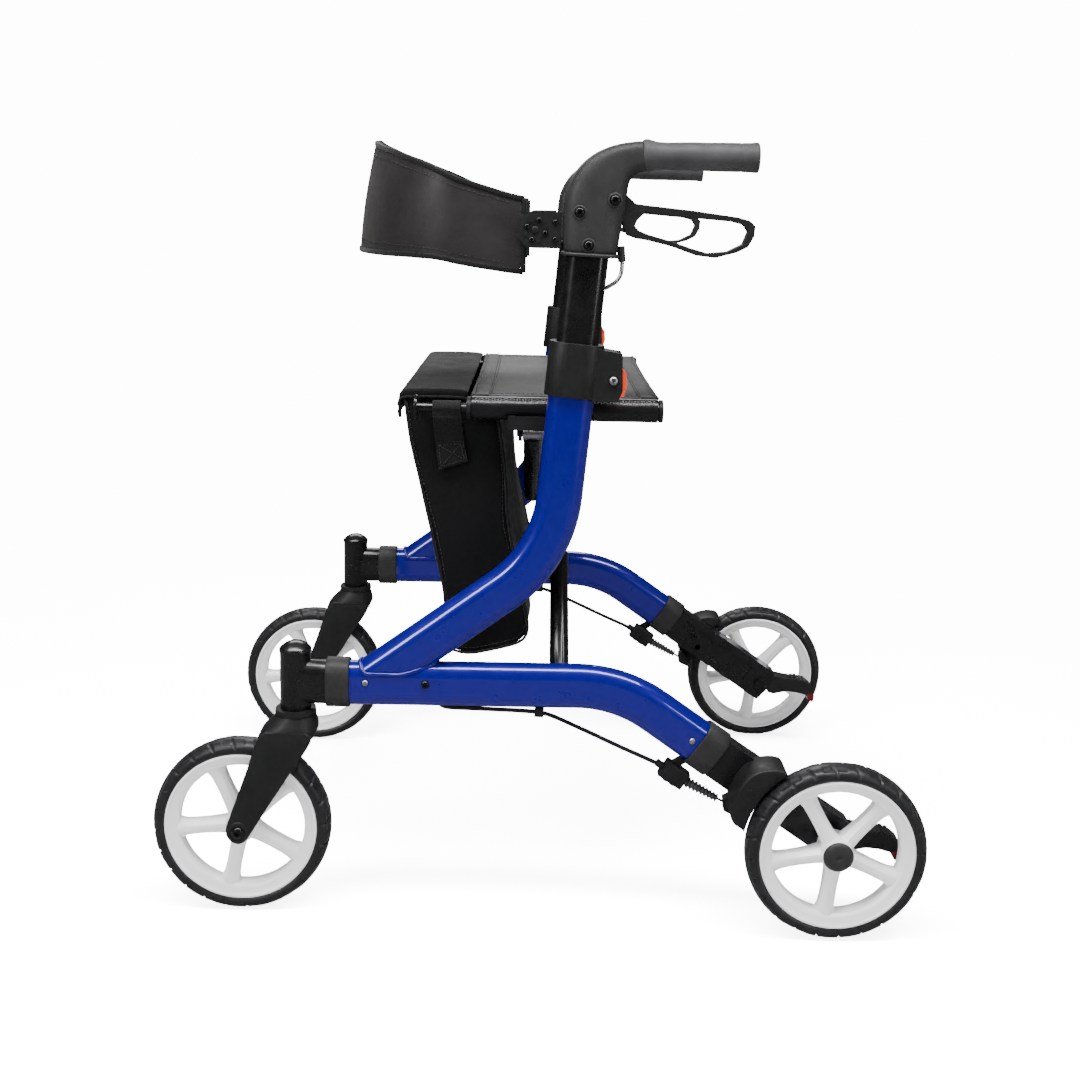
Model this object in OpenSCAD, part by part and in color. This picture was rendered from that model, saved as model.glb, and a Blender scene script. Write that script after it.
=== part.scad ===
// Rollator walker: two side frames joined by a folding cross brace, with a fabric seat, a bag
// hung in front of it, a backrest band, and height-adjustable handles with brake levers.
// Frame: origin on the floor under the middle of the object, +Z up, the casters towards -Y.
// All sizes are millimetres. Side outlines are given as [y, z] pairs.

/* [Wheels] */
// Diameter of all four wheels
wheel_d = 200; // [196:1:202]
// Width of a tyre
tyre_w = 32; // [28:1:34]
// Distance between front and rear wheel centres, casters pointing forward
wheelbase = 660; // [655:1:665]
// Distance between the mid-planes of the rear wheels
rear_track = 580; // [578:1:590]
// How far a front wheel's axle stands ahead of its swivel axis
caster_trail = 61; // [58:1:64]
// Number of spokes in a rim
spokes = 5; // [3:1:7]

/* [Side frame] */
// Distance between the mid-planes of the two side frames
frame_gap = 494; // [490:1:500]
// Depth of the oval frame tube, seen from the side
tube_deep = 50; // [48:1:51]
// Thickness of the oval frame tube
tube_wide = 30; // [28:1:30]
// Wall of the frame tube
tube_wall = 2; // [1.5:0.1:2.5]
// Radius of the bends in the frame tubes
bend_r = 150; // [120:5:155]
// Height of the lower tube's centre line
low_z = 267.5; // [266:0.5:269]
// Slope of the lower tube behind its bend
rear_slope = 35; // [34:0.5:36]
// Slope of the diagonal part of the upper tube
diagonal_slope = 36; // [35:0.5:37]
// Backward lean of the post from vertical
post_lean = 5.3; // [5:0.1:5.6]

/* [Cross brace] */
// Distance between the pivots of a brace's ends, measured across the walker
pivot_gap = 424; // [420:1:426]
// Height of the lower brace pivots
pivot_low_z = 268; // [266:1:270]
// Height of the upper brace pivots, under the seat rails
pivot_high_z = 545; // [543:1:547]
// Diameter of a brace tube
brace_d = 22; // [18:1:22]

/* [Seat, bag and backrest] */
// Diameter of a seat rail
rail_d = 22; // [20:1:22]
// Height of a seat rail's centre
rail_z = 572; // [571:0.5:573]
// Thickness of the seat fabric
seat_t = 6.5; // [4:0.5:8]
// Width of the bag
bag_w = 394; // [360:1:396]
// Wall of the bag
bag_wall = 4; // [3:1:6]
// Thickness of the backrest band
band_t = 8; // [6:1:10]

/* [Handles] */
// Diameter of a grip
grip_d = 30; // [28:1:32]
// Height of a grip's centre line
grip_z = 846.5; // [845:0.5:848]
// Width of a handle head
head_w = 40; // [38:1:40]

/* [Hidden] */
$fn = 48;

// The two sides: left pieces are mirror images of right ones
right = 1;
left = -1;

// Fits
slide_gap = 0.2;      // sliding plastic and tube parts, each side
pin_gap = 0.1;        // radial clearance of a pin in its bore
eps = 0.5;            // overshoot of a cutting solid

// Wheels and axles
wheel_r = wheel_d / 2;
front_y = -wheelbase / 2;
rear_y = wheelbase / 2;
frame_x = frame_gap / 2;
caster_x = frame_x - 1;
rear_x = rear_track / 2;
rim_r = 85;           // where the tyre sits
rim_in_r = 70;        // inside of the rim's ring
rim_w = 28;
hub_r = 17;
hub_w = 36;
bearing_r = 11;
bearing_w = 7;
axle_r = 4;
rear_axle_r = 5;
spoke_t = 12;
front_spoke_turn = 42;
rear_spoke_turn = 47;

// Lower tube
low_front_y = -221;
low_bend = [90.8, low_z];
low_end_run = 121;    // from the bend's corner to the tube's end
rear_dir = [cos(rear_slope), -sin(rear_slope)];
low_end = low_bend + low_end_run * rear_dir;

// Upper tube
diag_bend = [13.3, 414.7];
diag_dir = [cos(diagonal_slope), sin(diagonal_slope)];
diag_run = 250.4;     // from the bend's corner down to the lower tube's centre line
post_angle = 90 - post_lean;
post_dir = [cos(post_angle), sin(post_angle)];
tube_top_run = 226;   // from the bend's corner to the open end of the tube

// Caster swivel
swivel_y = front_y + caster_trail;
housing_r = 17;
housing_z0 = 237.5;
housing_z1 = 302;
cap_rise = 12;
stem_r = 6;
fork_top_z = 236;
arm_in = 21;
arm_t = 7;

// Brace
brace_r = brace_d / 2;
pivot_x = pivot_gap / 2;
cross_z = (pivot_low_z + pivot_high_z) / 2;
brace_half = norm([pivot_x, cross_z - pivot_low_z]);
brace_lean = atan2(cross_z - pivot_low_z, pivot_x);
brace_low_y = 24;     // plane of the lower half of each brace
brace_high_y = -10;   // plane of the upper half
hub_reach = 70;       // the tubes stop this far from the crossing
hub_end = 94;
pin_r = 4;
lug_t = 4;
low_sleeve = [12.8, 35.2];
high_sleeve = [-22, 36];

// Seat rail
rail_x = pivot_x;
rail_y = [-84, 128];
rod_r = 5;
rod_end_y = -138;
flange_r = 14;

// Handle
post_out = [45.4, 25.4];
post_y_at = function(z) diag_bend[0] + (z - diag_bend[1]) * post_dir[0] / post_dir[1];
post_z = [536, 780];
lever_pivot = [70.5, 800];
lever_t = 13;
clamp_pin = [74, 611];
plate_pivot = [-12, 768];
brake_pivot = [237, 153];
shoe_in_r = wheel_r + 3.6;

// ---------- helpers ----------

module on_side(side) {
    if (side < 0) mirror([1, 0, 0]) children();
    else children();
}

// Oval with straight flanks; the long way lies along the first axis
module oval(long, short) {
    square([long - short, short], center = true);
    for (s = [-1, 1]) translate([s * (long - short) / 2, 0]) circle(d = short);
}

// A [y, z] outline made solid between two x planes
module plate(x0, x1) {
    translate([x0, 0, 0]) rotate([90, 0, 90]) linear_extrude(x1 - x0) children();
}

// A profile run straight from one [y, z] point to another, in the plane x = 0
module run(p, q) {
    d = q - p;
    translate([0, p[0], p[1]]) rotate([atan2(d[1], d[0]), 0, 0]) rotate([-90, 0, 0])
        linear_extrude(norm(d)) rotate(90) children();
}

// How far a bend of radius r starts before its corner
function tangent(a_in, a_out, r) = r * tan(abs(a_out - a_in) / 2);

// A profile bent round a [y, z] corner, from direction a_in to direction a_out
module bend(corner, a_in, a_out, r) {
    s = sign(a_out - a_in);
    start = corner - tangent(a_in, a_out, r) * [cos(a_in), sin(a_in)];
    centre = start + s * r * [-sin(a_in), cos(a_in)];
    first = s > 0 ? a_in - 90 : a_out + 90;
    translate([0, centre[0], centre[1]]) rotate([90, 0, 90]) rotate([0, 0, first])
        rotate_extrude(angle = abs(a_out - a_in), $fn = 96) translate([r, 0]) children();
}

// A round rod along X through a [y, z] point
module cross_rod(p, r, x0, x1) {
    translate([x0, p[0], p[1]]) rotate([0, 90, 0]) cylinder(r = r, h = x1 - x0);
}

// A round rod along Y through an [x, z] point
module long_rod(p, r, y0, y1) {
    translate([p[0], y0, p[1]]) rotate([-90, 0, 0]) cylinder(r = r, h = y1 - y0);
}

// A ring turned about a wheel's axis; its profile is [radius, x]
module turned(wheel_x, y) {
    translate([wheel_x, y, wheel_r]) rotate([0, 90, 0]) rotate_extrude($fn = 96) children();
}

// ---------- side frame ----------

module lower_path() {
    t = tangent(0, -rear_slope, bend_r);
    run([low_front_y, low_z], low_bend - [t, 0]) children();
    bend(low_bend, 0, -rear_slope, bend_r) children();
    run(low_bend + t * rear_dir, low_end) children();
}

module tube_outline(grow = 0) {
    oval(tube_deep + 2 * grow, tube_wide + 2 * grow);
}

module tube_section() {
    difference() {
        tube_outline();
        tube_outline(-tube_wall);
    }
}

module lower_tube(side) {
    lug_r = 9;
    lug_y = [low_sleeve[0] - lug_t - 0.3, low_sleeve[1] + 0.3];
    lug_reach = frame_x - tube_wide / 2 + 1 - pivot_x;
    color("mediumblue") on_side(side) {
        translate([frame_x, 0, 0]) lower_path() tube_section();
        // ears that hold the brace's lower pivot pin
        for (y = lug_y) difference() {
            union() {
                translate([pivot_x, y, pivot_low_z - lug_r]) cube([lug_reach, lug_t, 2 * lug_r]);
                long_rod([pivot_x, pivot_low_z], lug_r, y, y + lug_t);
            }
            long_rod([pivot_x, pivot_low_z], pin_r, y - eps, y + lug_t + eps);
        }
    }
}

module upper_tube(side) {
    weld_z = low_z + tube_deep / 2 - 8;   // its end stands a little way into the lower tube
    t = tangent(diagonal_slope, post_angle, bend_r);
    seam = 0.01;                          // the straights stop this short of the bend
    color("mediumblue") on_side(side) translate([frame_x, 0, 0]) {
        difference() {
            run(diag_bend - diag_run * diag_dir, diag_bend - (t + seam) * diag_dir) tube_section();
            translate([-tube_wide, low_front_y - 20, 0])
                cube([2 * tube_wide, low_bend[0] - low_front_y + 20, weld_z]);
        }
        bend(diag_bend, diagonal_slope, post_angle, bend_r) tube_section();
        run(diag_bend + (t + seam) * post_dir, diag_bend + tube_top_run * post_dir) tube_section();
    }
}

module tube_collars(side) {
    wrap = 3;
    front = [-234, -208];
    rear_back = 14;
    rear_on = 14;
    color("dimgray") on_side(side) translate([frame_x, 0, 0]) {
        difference() {
            run([front[0], low_z], [front[1], low_z]) tube_outline(wrap);
            run([front[0] - eps, low_z], [front[1] + eps, low_z]) tube_outline(slide_gap / 2);
        }
        difference() {
            run(low_end - rear_back * rear_dir, low_end + rear_on * rear_dir) tube_outline(wrap);
            run(low_end - (rear_back + eps) * rear_dir, low_end + (rear_on + eps) * rear_dir)
                tube_outline(slide_gap / 2);
        }
    }
}

module caster_housing(side) {
    plug_y = -182;
    plug_deep = 39.4;                     // its top stays clear of the upper tube's end
    plug_z = low_z - tube_deep / 2 + tube_wall + slide_gap / 2 + plug_deep / 2;
    cap_sphere_r = 22;
    color("black") on_side(side) difference() {
        union() {
            translate([caster_x, swivel_y, housing_z0]) cylinder(r = housing_r, h = housing_z1 - housing_z0);
            translate([caster_x, swivel_y, housing_z1]) cylinder(r = housing_r + 0.8, h = 3);
            // domed dust cap
            translate([caster_x, swivel_y, housing_z1 + 3]) intersection() {
                translate([0, 0, cap_rise - 3 - cap_sphere_r]) sphere(r = cap_sphere_r);
                cylinder(r = housing_r, h = cap_rise);
            }
            translate([frame_x, 0, 0]) {
                run([swivel_y + 6, low_z], [low_front_y - 0.1, low_z]) tube_outline(-slide_gap / 2);
                run([low_front_y - 1, plug_z], [plug_y, plug_z])
                    oval(plug_deep, tube_wide - 2 * tube_wall - slide_gap);
            }
        }
        translate([caster_x, swivel_y, housing_z0 - eps])
            cylinder(r = stem_r + pin_gap, h = housing_z1 - housing_z0 - 4);
    }
}

module rear_bracket(side) {
    x0 = frame_x - 14;
    x1 = frame_x + 14;
    collar_end = 14.2;
    plug = 42;
    // drawn along the tube: [distance behind the tube's end, height over its centre line]
    outline = [[collar_end, -23], [collar_end, 23], [180, 25.5], [185.5, -3], [183, -22]];
    color("black") on_side(side) difference() {
        union() {
            plate(x0, x1) translate(low_end) rotate(-rear_slope) polygon(outline);
            translate([frame_x, 0, 0]) {
                run(low_end + 0.1 * rear_dir, low_end + (collar_end + 1) * rear_dir)
                    tube_outline(-slide_gap / 2);
                run(low_end - plug * rear_dir, low_end + rear_dir)
                    tube_outline(-tube_wall - slide_gap / 2);
            }
        }
        // the inner face stands in slightly between the edges
        plate(x0 - eps, x0 + 1.5) translate(low_end) rotate(-rear_slope)
            translate([26, -12]) square([122, 26]);
        cross_rod([rear_y, wheel_r], rear_axle_r, x0 - eps, x1 + eps);
        cross_rod(brake_pivot, pin_r, x0 - eps, x1 + eps);
    }
}

module tipper(side) {
    outline = [
        [350.4, 111.5], [371, 107], [386, 107.5], [400, 103], [410, 94], [413, 80], [411, 71],
        [399, 83], [386, 86.5], [372, 88], [352, 84], [343.5, 86], [341, 90.2], [347.1, 104],
    ];
    half = 13;
    ribs = 5;
    rib_pitch = 6;
    color("darkslategray") on_side(side) difference() {
        plate(frame_x - half, frame_x + half) polygon(outline);
        // tread grooves across the toe pad
        for (i = [0 : ribs - 1])
            translate([frame_x - half - 1, 376 + rib_pitch * i, 106.5 - 0.35 * i * i])
                rotate([-20, 0, 0]) cube([2 * half + 2, 2, 6]);
    }
}

module clamp(side) {
    base = diag_bend + (tube_top_run - 48) * post_dir;
    mouth = diag_bend + (tube_top_run + 0.5) * post_dir;
    top = diag_bend + (tube_top_run + 10) * post_dir;
    wrap = 4.5;
    x0 = frame_x - tube_wide / 2;
    x1 = frame_x + tube_wide / 2;
    ear = [[50, 588], [79, 588], [84, 600], [83, 640], [54, 645]];
    slot = [[63, 585], [90, 585], [90, 650], [66, 632]];
    saddle_t = 4;
    saddle_z = [551, 566];
    hooks = [[-38, -30], [44, 52]];       // clear of the brace's upper sleeve and its lugs
    hook_in = 9;
    color("dimgray") on_side(side) {
        difference() {
            union() {
                translate([frame_x, 0, 0]) run(base, top) tube_outline(wrap);
                plate(x0, x1) polygon(ear);
            }
            translate([frame_x, 0, 0]) {
                run(base - 30 * post_dir, mouth) tube_outline(slide_gap / 2);
                run(mouth - post_dir, top + 20 * post_dir)
                    oval(post_out[0] + 2 * slide_gap, post_out[1] + 2 * slide_gap);
            }
            plate(frame_x - 8, frame_x + 8) polygon(slot);
            cross_rod(clamp_pin, 3.1, x0 - eps, x1 + eps);
        }
        // side plate with two hooks in which the seat rail rests when the walker is open
        difference() {
            union() {
                plate(x0 - saddle_t, x0) translate([hooks[0][0], saddle_z[0]])
                    square([hooks[1][1] - hooks[0][0], saddle_z[1] - saddle_z[0]]);
                for (h = hooks) translate([rail_x - hook_in, h[0], saddle_z[0]])
                    cube([x0 - rail_x + hook_in, h[1] - h[0], saddle_z[1] - saddle_z[0]]);
            }
            long_rod([rail_x, rail_z], rail_d / 2 + 0.4, hooks[0][0] - eps, hooks[1][1] + eps);
        }
    }
}

module frame_fasteners(side) {
    face = frame_x + tube_wide / 2 + 0.05;
    inner = frame_x - 14.05;
    bolt_head = [frame_x + 22.3, frame_x + 25];
    pin_over = 3;
    color("silver") on_side(side) {
        // rivets through the tube ends
        for (p = [[-190, low_z + 4], [172, 211]]) cross_rod(p, 3.5, face, face + 1.6);
        // button-head bolt beside the brace
        cross_rod([-124, 271], 4.5, face, face + 3);
        // bracket screw, on the inner face
        cross_rod([230, 173], 4, inner - 2.5, inner);
        // brake arm's pivot bolt
        cross_rod(brake_pivot, pin_r, frame_x - 10, bolt_head[0] + 0.5);
        cross_rod(brake_pivot, 6, bolt_head[0], bolt_head[1]);
        // clamp screw
        cross_rod(clamp_pin, 3, frame_x - 16, frame_x + 16);
        cross_rod(clamp_pin, 4.6, frame_x + 15.1, frame_x + 18);
        // brace's lower pivot pin
        long_rod([pivot_x, pivot_low_z], pin_r,
            low_sleeve[0] - lug_t - pin_over, low_sleeve[1] + lug_t + pin_over);
    }
}

module brake_cable(side) {
    r = 2.5;
    exit = [-108, 238.9];
    clip = [2, 236.5];
    block = [[142, 175], [166.5, 158.5]];
    stay = [[150, 176], [166, 166], [167.5, 177.5], [158, 185]];
    boot_end = [203, 138.7];
    boot_ribs = 6;
    step = (boot_end - block[1]) / boot_ribs;
    color("black") on_side(side) translate([frame_x, 0, 0]) {
        translate([0, exit[0], exit[1]]) sphere(r = r + 1);
        run(exit, clip) circle(r = r);
        translate([0, clip[0], clip[1]]) sphere(r = r);
        run(clip, block[0]) circle(r = r);
        // clip under the tube
        translate([-5, clip[0] - 4, clip[1] - 5]) cube([10, 8, 10.8]);
        // adjuster block, with its stay up to the rear collar
        run(block[0], block[1]) square([21, 15], center = true);
        plate(-3, 3) polygon(stay);
        // bellows over the inner wire's end
        for (i = [0 : boot_ribs - 1]) {
            run(block[1] + i * step, block[1] + (i + 0.6) * step) circle(r = 6.5 - 0.3 * i);
            run(block[1] + (i + 0.5) * step, block[1] + (i + 1.1) * step) circle(r = 4.6 - 0.2 * i);
        }
        run(boot_end, boot_end + 0.4 * step) circle(r = 1.5);
    }
}

module rear_axle(side) {
    color("silver") on_side(side) {
        cross_rod([rear_y, wheel_r], rear_axle_r - 0.05, frame_x - 14, rear_x + 15);
        cross_rod([rear_y, wheel_r], 7.5, frame_x - 19, frame_x - 14.1);
        // spacer between bracket and hub
        difference() {
            cross_rod([rear_y, wheel_r], 8, frame_x + 14.1, rear_x - hub_w / 2 - 0.1);
            cross_rod([rear_y, wheel_r], rear_axle_r, frame_x + 13, rear_x);
        }
    }
}

module clamp_lever(side) {
    outline = [[74, 603], [80, 590], [86, 594], [89, 606], [88, 618], [83, 625], [78, 621], [74, 619]];
    color("orangered") on_side(side) difference() {
        plate(frame_x - 7.5, frame_x + 7.5) {
            translate(clamp_pin) circle(r = 8);
            polygon(outline);
        }
        cross_rod(clamp_pin, 3.1, frame_x - 8, frame_x + 8);
    }
}

module brake_arm(side) {
    x0 = frame_x + 15;
    x1 = rear_x + 6;
    inner = [for (a = [168 : -5 : 123]) [rear_y, wheel_r] + shoe_in_r * [cos(a), sin(a)]];
    back = [[270, 191], [265, 193.5], [258, 194], [248, 192.5], [240, 190], [232, 185.5], [225, 178],
        [219, 167], [214.5, 154], [212, 143], [213, 136], [217, 129.5], [223, 124.5]];
    anchor = [[210, 140], [211, 127], [224, 121], [226, 128], [216, 143]];
    color("black") on_side(side) difference() {
        union() {
            // shoe round the tyre's upper front
            plate(x0, x1) polygon(concat(inner, back));
            // anchor of the cable, reaching inboard under the bracket
            plate(frame_x - 6, x0 + 8) polygon(anchor);
        }
        cross_rod(brake_pivot, pin_r + pin_gap, x0 - eps, x1 + eps);
        // room for the pivot bolt's head
        cross_rod(brake_pivot, 6.6, x0 + 7.2, x1 + eps);
    }
}

// ---------- handle ----------

module post(side) {
    low = [post_y_at(post_z[0]), post_z[0]];
    high = [post_y_at(post_z[1]), post_z[1]];
    wall = 1.8;
    holes = 6;
    color("black") on_side(side) translate([frame_x, 0, 0]) difference() {
        run(low, high) oval(post_out[0], post_out[1]);
        run(low - post_dir, high + post_dir) oval(post_out[0] - 2 * wall, post_out[1] - 2 * wall);
        // where the brake cable enters, at the back
        long_rod([0, 708], 3.2, 55, 70);
    }
}

module head(side) {
    x0 = frame_x - head_w / 2;
    x1 = frame_x + head_w / 2;
    outline = [
        [19, 742], [16, 765], [17, 793], [19, 808], [24, 820], [31, 832], [44, 844], [60, 853],
        [81, 860], [100, 862], [100, 831], [88, 826], [84, 812], [83, 799], [78, 772], [73, 739],
    ];
    color("dimgray") on_side(side) difference() {
        union() {
            plate(x0, x1) polygon(outline);
            // spigot that carries the grip
            long_rod([frame_x, grip_z], 11, 90, 214);
        }
        translate([frame_x, 0, 0]) run([post_y_at(730), 730], [post_y_at(post_z[1] + 1), post_z[1] + 1])
            oval(post_out[0] + slide_gap, post_out[1] + slide_gap);
        // slot for the brake lever
        plate(frame_x - lever_t / 2 - 0.8, frame_x + lever_t / 2 + 0.8)
            polygon([[58, 786], [72, 784], [72, 755], [95, 755], [95, 815], [58, 815]]);
        cross_rod(lever_pivot, 3, x0 - eps, x1 + eps);
        for (p = [[34, 787], [44, 753]]) for (s = [-1, 1])
            cross_rod(p, 2, frame_x + s * (head_w / 2 - 2) - 2.5, frame_x + s * (head_w / 2 - 2) + 2.5);
    }
}

module grip(side) {
    color("dimgray") on_side(side) difference() {
        union() {
            long_rod([frame_x, grip_z], grip_d / 2, 101, 219);
            long_rod([frame_x, grip_z], grip_d / 2 + 1.2, 104, 116);
            long_rod([frame_x, grip_z], grip_d / 2 + 0.8, 214, 220);
        }
        long_rod([frame_x, grip_z], 11.1, 100, 215);
    }
}

module head_fittings(side) {
    x1 = frame_x + head_w / 2;
    x0 = frame_x - head_w / 2;
    loop = [65, 722];
    loop_r = 14;
    wire_r = 2.2;
    color("silver") on_side(side) {
        for (p = [[34, 787], [44, 753]]) {
            cross_rod(p, 4.2, x1 + 0.05, x1 + 2.2);
            cross_rod(p, 1.9, x1 - 4, x1 + 1);
            cross_rod(p, 4.2, x0 - 2.2, x0 - 0.05);
            cross_rod(p, 1.9, x0 - 1, x0 + 4);
        }
        // brake lever's pivot bolt
        cross_rod(lever_pivot, 2.9, x0 - 1, x1 + 1);
        cross_rod(lever_pivot, 4.6, x1 + 0.05, x1 + 2.6);
        cross_rod(lever_pivot, 4.6, x0 - 2.6, x0 - 0.05);
        // cable loop from the head into the back of the post
        translate([frame_x, 0, 0]) {
            run([loop[0] + loop_r, loop[1]], [loop[0] + loop_r, 741]) circle(r = wire_r);
            translate([0, loop[0], loop[1]]) rotate([90, 0, 90]) rotate([0, 0, -90])
                rotate_extrude(angle = 90) translate([loop_r, 0]) circle(r = wire_r);
        }
    }
}

module brake_lever(side) {
    outer = [
        [64, 800], [66, 806], [83, 806], [93, 797], [111, 795], [153, 791], [200, 785], [213, 781.5],
        [219, 776], [218, 765], [212, 754], [200, 748], [178, 742], [158, 744], [132, 753], [106, 759],
        [93, 761], [84, 764], [80, 772], [76, 790],
    ];
    // finger loop, open from end to end
    loop = [
        [95, 780], [103, 788], [129, 785], [160, 782.5], [194, 780], [206, 777], [211, 770], [206, 757],
        [190, 749], [170, 747], [150, 752.5], [134, 758], [108, 765], [97, 769], [92.5, 774],
    ];
    color("black") on_side(side) difference() {
        plate(frame_x - lever_t / 2, frame_x + lever_t / 2) difference() {
            union() {
                polygon(outer);
                translate(lever_pivot) circle(r = 9);
            }
            polygon(loop);
        }
        cross_rod(lever_pivot, 2.9 + pin_gap, frame_x - lever_t, frame_x + lever_t);
    }
}

module backrest_plate(side) {
    // joins the front of the head to the end of the backrest band
    neck = [[-12, 749], [15.5, 749], [15, 765], [16, 787], [-12, 787]];
    screw_ring = 11;
    color("black") on_side(side) {
        difference() {
            plate(frame_x - 8, frame_x + 8) {
                translate(plate_pivot) circle(r = 19);
                polygon(neck);
            }
            plate(frame_x - 9, frame_x - 4) translate(plate_pivot) circle(r = 20);
            cross_rod(plate_pivot, 4, frame_x - 10, frame_x + 10);
        }
        for (a = [20, 110, 200, 290])
            cross_rod(plate_pivot + screw_ring * [cos(a), sin(a)], 2.6, frame_x + 7.9, frame_x + 9.5);
    }
}

// ---------- wheels ----------

module rim(wheel_x, y, turn) {
    lip = 4;
    shelf_r = rim_in_r + 3;
    half = rim_w / 2;
    barrel_r = rear_axle_r + 1;
    seat_x = (hub_w - bearing_w + 1) / 2;      // middle of a bearing's seat
    seat_half = (bearing_w + 1) / 2;
    ring = [
        [rim_in_r, -half], [rim_r, -half], [rim_r, half], [rim_in_r, half],
        [rim_in_r, half - lip], [shelf_r, half - lip], [shelf_r, lip - half], [rim_in_r, lip - half],
    ];
    spoke = [[hub_r - 4, -7], [shelf_r + 2, -6], [shelf_r + 2, 6], [hub_r - 4, 7]];
    difference() {
        union() {
            // ring with a lip on each edge
            turned(wheel_x, y) polygon(ring);
            turned(wheel_x, y) translate([barrel_r, -hub_w / 2]) square([hub_r - barrel_r, hub_w]);
            for (i = [0 : spokes - 1])
                translate([wheel_x, y, wheel_r]) rotate([turn + i * 360 / spokes, 0, 0])
                    plate(-spoke_t / 2, spoke_t / 2) polygon(spoke);
        }
        for (x = [wheel_x - seat_x, wheel_x + seat_x])
            cross_rod([y, wheel_r], bearing_r, x - seat_half, x + seat_half);
    }
}

module tyre(wheel_x, y) {
    shoulder = 7.4;
    side_in = 1.5;
    turned(wheel_x, y) {
        translate([wheel_r - shoulder, 0]) rotate(90) oval(tyre_w, 2 * shoulder);
        translate([rim_r + 0.05, side_in - tyre_w / 2])
            square([wheel_r - shoulder - rim_r, tyre_w - 2 * side_in]);
    }
}

module bearings(wheel_x, y, bore) {
    middle = (hub_w - bearing_w) / 2;
    half = bearing_w / 2;
    for (x = [wheel_x - middle, wheel_x + middle]) difference() {
        cross_rod([y, wheel_r], bearing_r, x - half, x + half);
        cross_rod([y, wheel_r], bore + 0.05, wheel_x - hub_w, wheel_x + hub_w);
    }
}

module fork(side) {
    outline = [
        [-290, fork_top_z], [-248, fork_top_z], [-242, 226], [-245, 212], [-255, 194], [-270, 172],
        [-290, 140], [-311, 106], [-318, 94], [-322, 88], [-330, 86], [-338, 88.5], [-343.5, 95],
        [-344, 104], [-317, 180], [-306, 215],
    ];
    half = arm_in + arm_t;
    crown_z = 213;                        // the arms start below this height
    shoulder_slope = 38;
    color("black") on_side(side) translate([caster_x, 0, 0]) difference() {
        union() {
            plate(-half, half) polygon(outline);
            translate([0, swivel_y, fork_top_z - 12]) cylinder(r = 22, h = 12.8);
            translate([0, swivel_y, fork_top_z]) cylinder(r = stem_r, h = 56);
        }
        // room for the wheel between the arms
        plate(-arm_in, arm_in) translate([-360, crown_z - 153]) square([130, 153]);
        // the top narrows towards the swivel
        for (s = [-1, 1]) translate([s * half, 0, fork_top_z]) rotate([0, s * shoulder_slope, 0])
            translate([s > 0 ? 0 : -30, -320, -16]) cube([30, 100, 40]);
        cross_rod([front_y, wheel_r], axle_r, -half - eps, half + eps);
    }
}

module front_axle(side) {
    reach = arm_in + arm_t;
    middle = (arm_in + hub_w / 2) / 2;    // of a spacer beside the hub
    half = 1.3;
    head_r = 6.5;
    color("silver") on_side(side) translate([caster_x, 0, 0]) {
        cross_rod([front_y, wheel_r], axle_r - 0.05, -reach, reach);
        cross_rod([front_y, wheel_r], head_r, reach + 0.05, reach + 4);
        cross_rod([front_y, wheel_r], head_r, -reach - 4, -reach - 0.05);
        for (x = [-middle, middle]) difference() {
            cross_rod([front_y, wheel_r], head_r, x - half, x + half);
            cross_rod([front_y, wheel_r], axle_r, -reach, reach);
        }
    }
}

module front_rim(side) {
    color("gainsboro") on_side(side) rim(caster_x, front_y, front_spoke_turn);
}

module front_tyre(side) {
    color("dimgray") on_side(side) tyre(caster_x, front_y);
}

module front_bearings(side) {
    color("silver") on_side(side) bearings(caster_x, front_y, axle_r);
}

module rear_rim(side) {
    color("gainsboro") on_side(side) rim(rear_x, rear_y, rear_spoke_turn);
}

module rear_tyre(side) {
    color("dimgray") on_side(side) tyre(rear_x, rear_y);
}

module rear_hub(side) {
    cap_r = 16.5;
    color("black") on_side(side) {
        bearings(rear_x, rear_y, rear_axle_r);
        // pressed cap over the axle's end
        difference() {
            cross_rod([rear_y, wheel_r], cap_r, rear_x + hub_w / 2 + 0.1, rear_x + hub_w / 2 + 4);
            cross_rod([rear_y, wheel_r], rear_axle_r + 2, rear_x, rear_x + hub_w / 2 + 1);
        }
    }
}

// ---------- seat and cross brace ----------

module seat_rail(side) {
    lug_y = [high_sleeve[0] - lug_t - 0.5, high_sleeve[1] + 0.5];
    bore_r = rail_d / 2 - 2;
    color("black") on_side(side) {
        difference() {
            long_rod([rail_x, rail_z], rail_d / 2, rail_y[0], rail_y[1]);
            long_rod([rail_x, rail_z], bore_r, rail_y[0] + 6, rail_y[1] - 6);
        }
        // rod and flange from which the bag hangs
        long_rod([rail_x, rail_z], rod_r, rod_end_y, rail_y[0] + 2);
        long_rod([rail_x, rail_z], flange_r, rod_end_y - 3, rod_end_y);
        // lugs and the pin through the brace's upper sleeve
        for (y = lug_y) {
            translate([rail_x - 7, y, pivot_high_z]) cube([14, lug_t, rail_z - pivot_high_z - bore_r - 0.5]);
            long_rod([rail_x, pivot_high_z], 9, y, y + lug_t);
        }
        long_rod([rail_x, pivot_high_z], pin_r, lug_y[0] - 2, lug_y[1] + lug_t + 2);
    }
}

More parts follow.
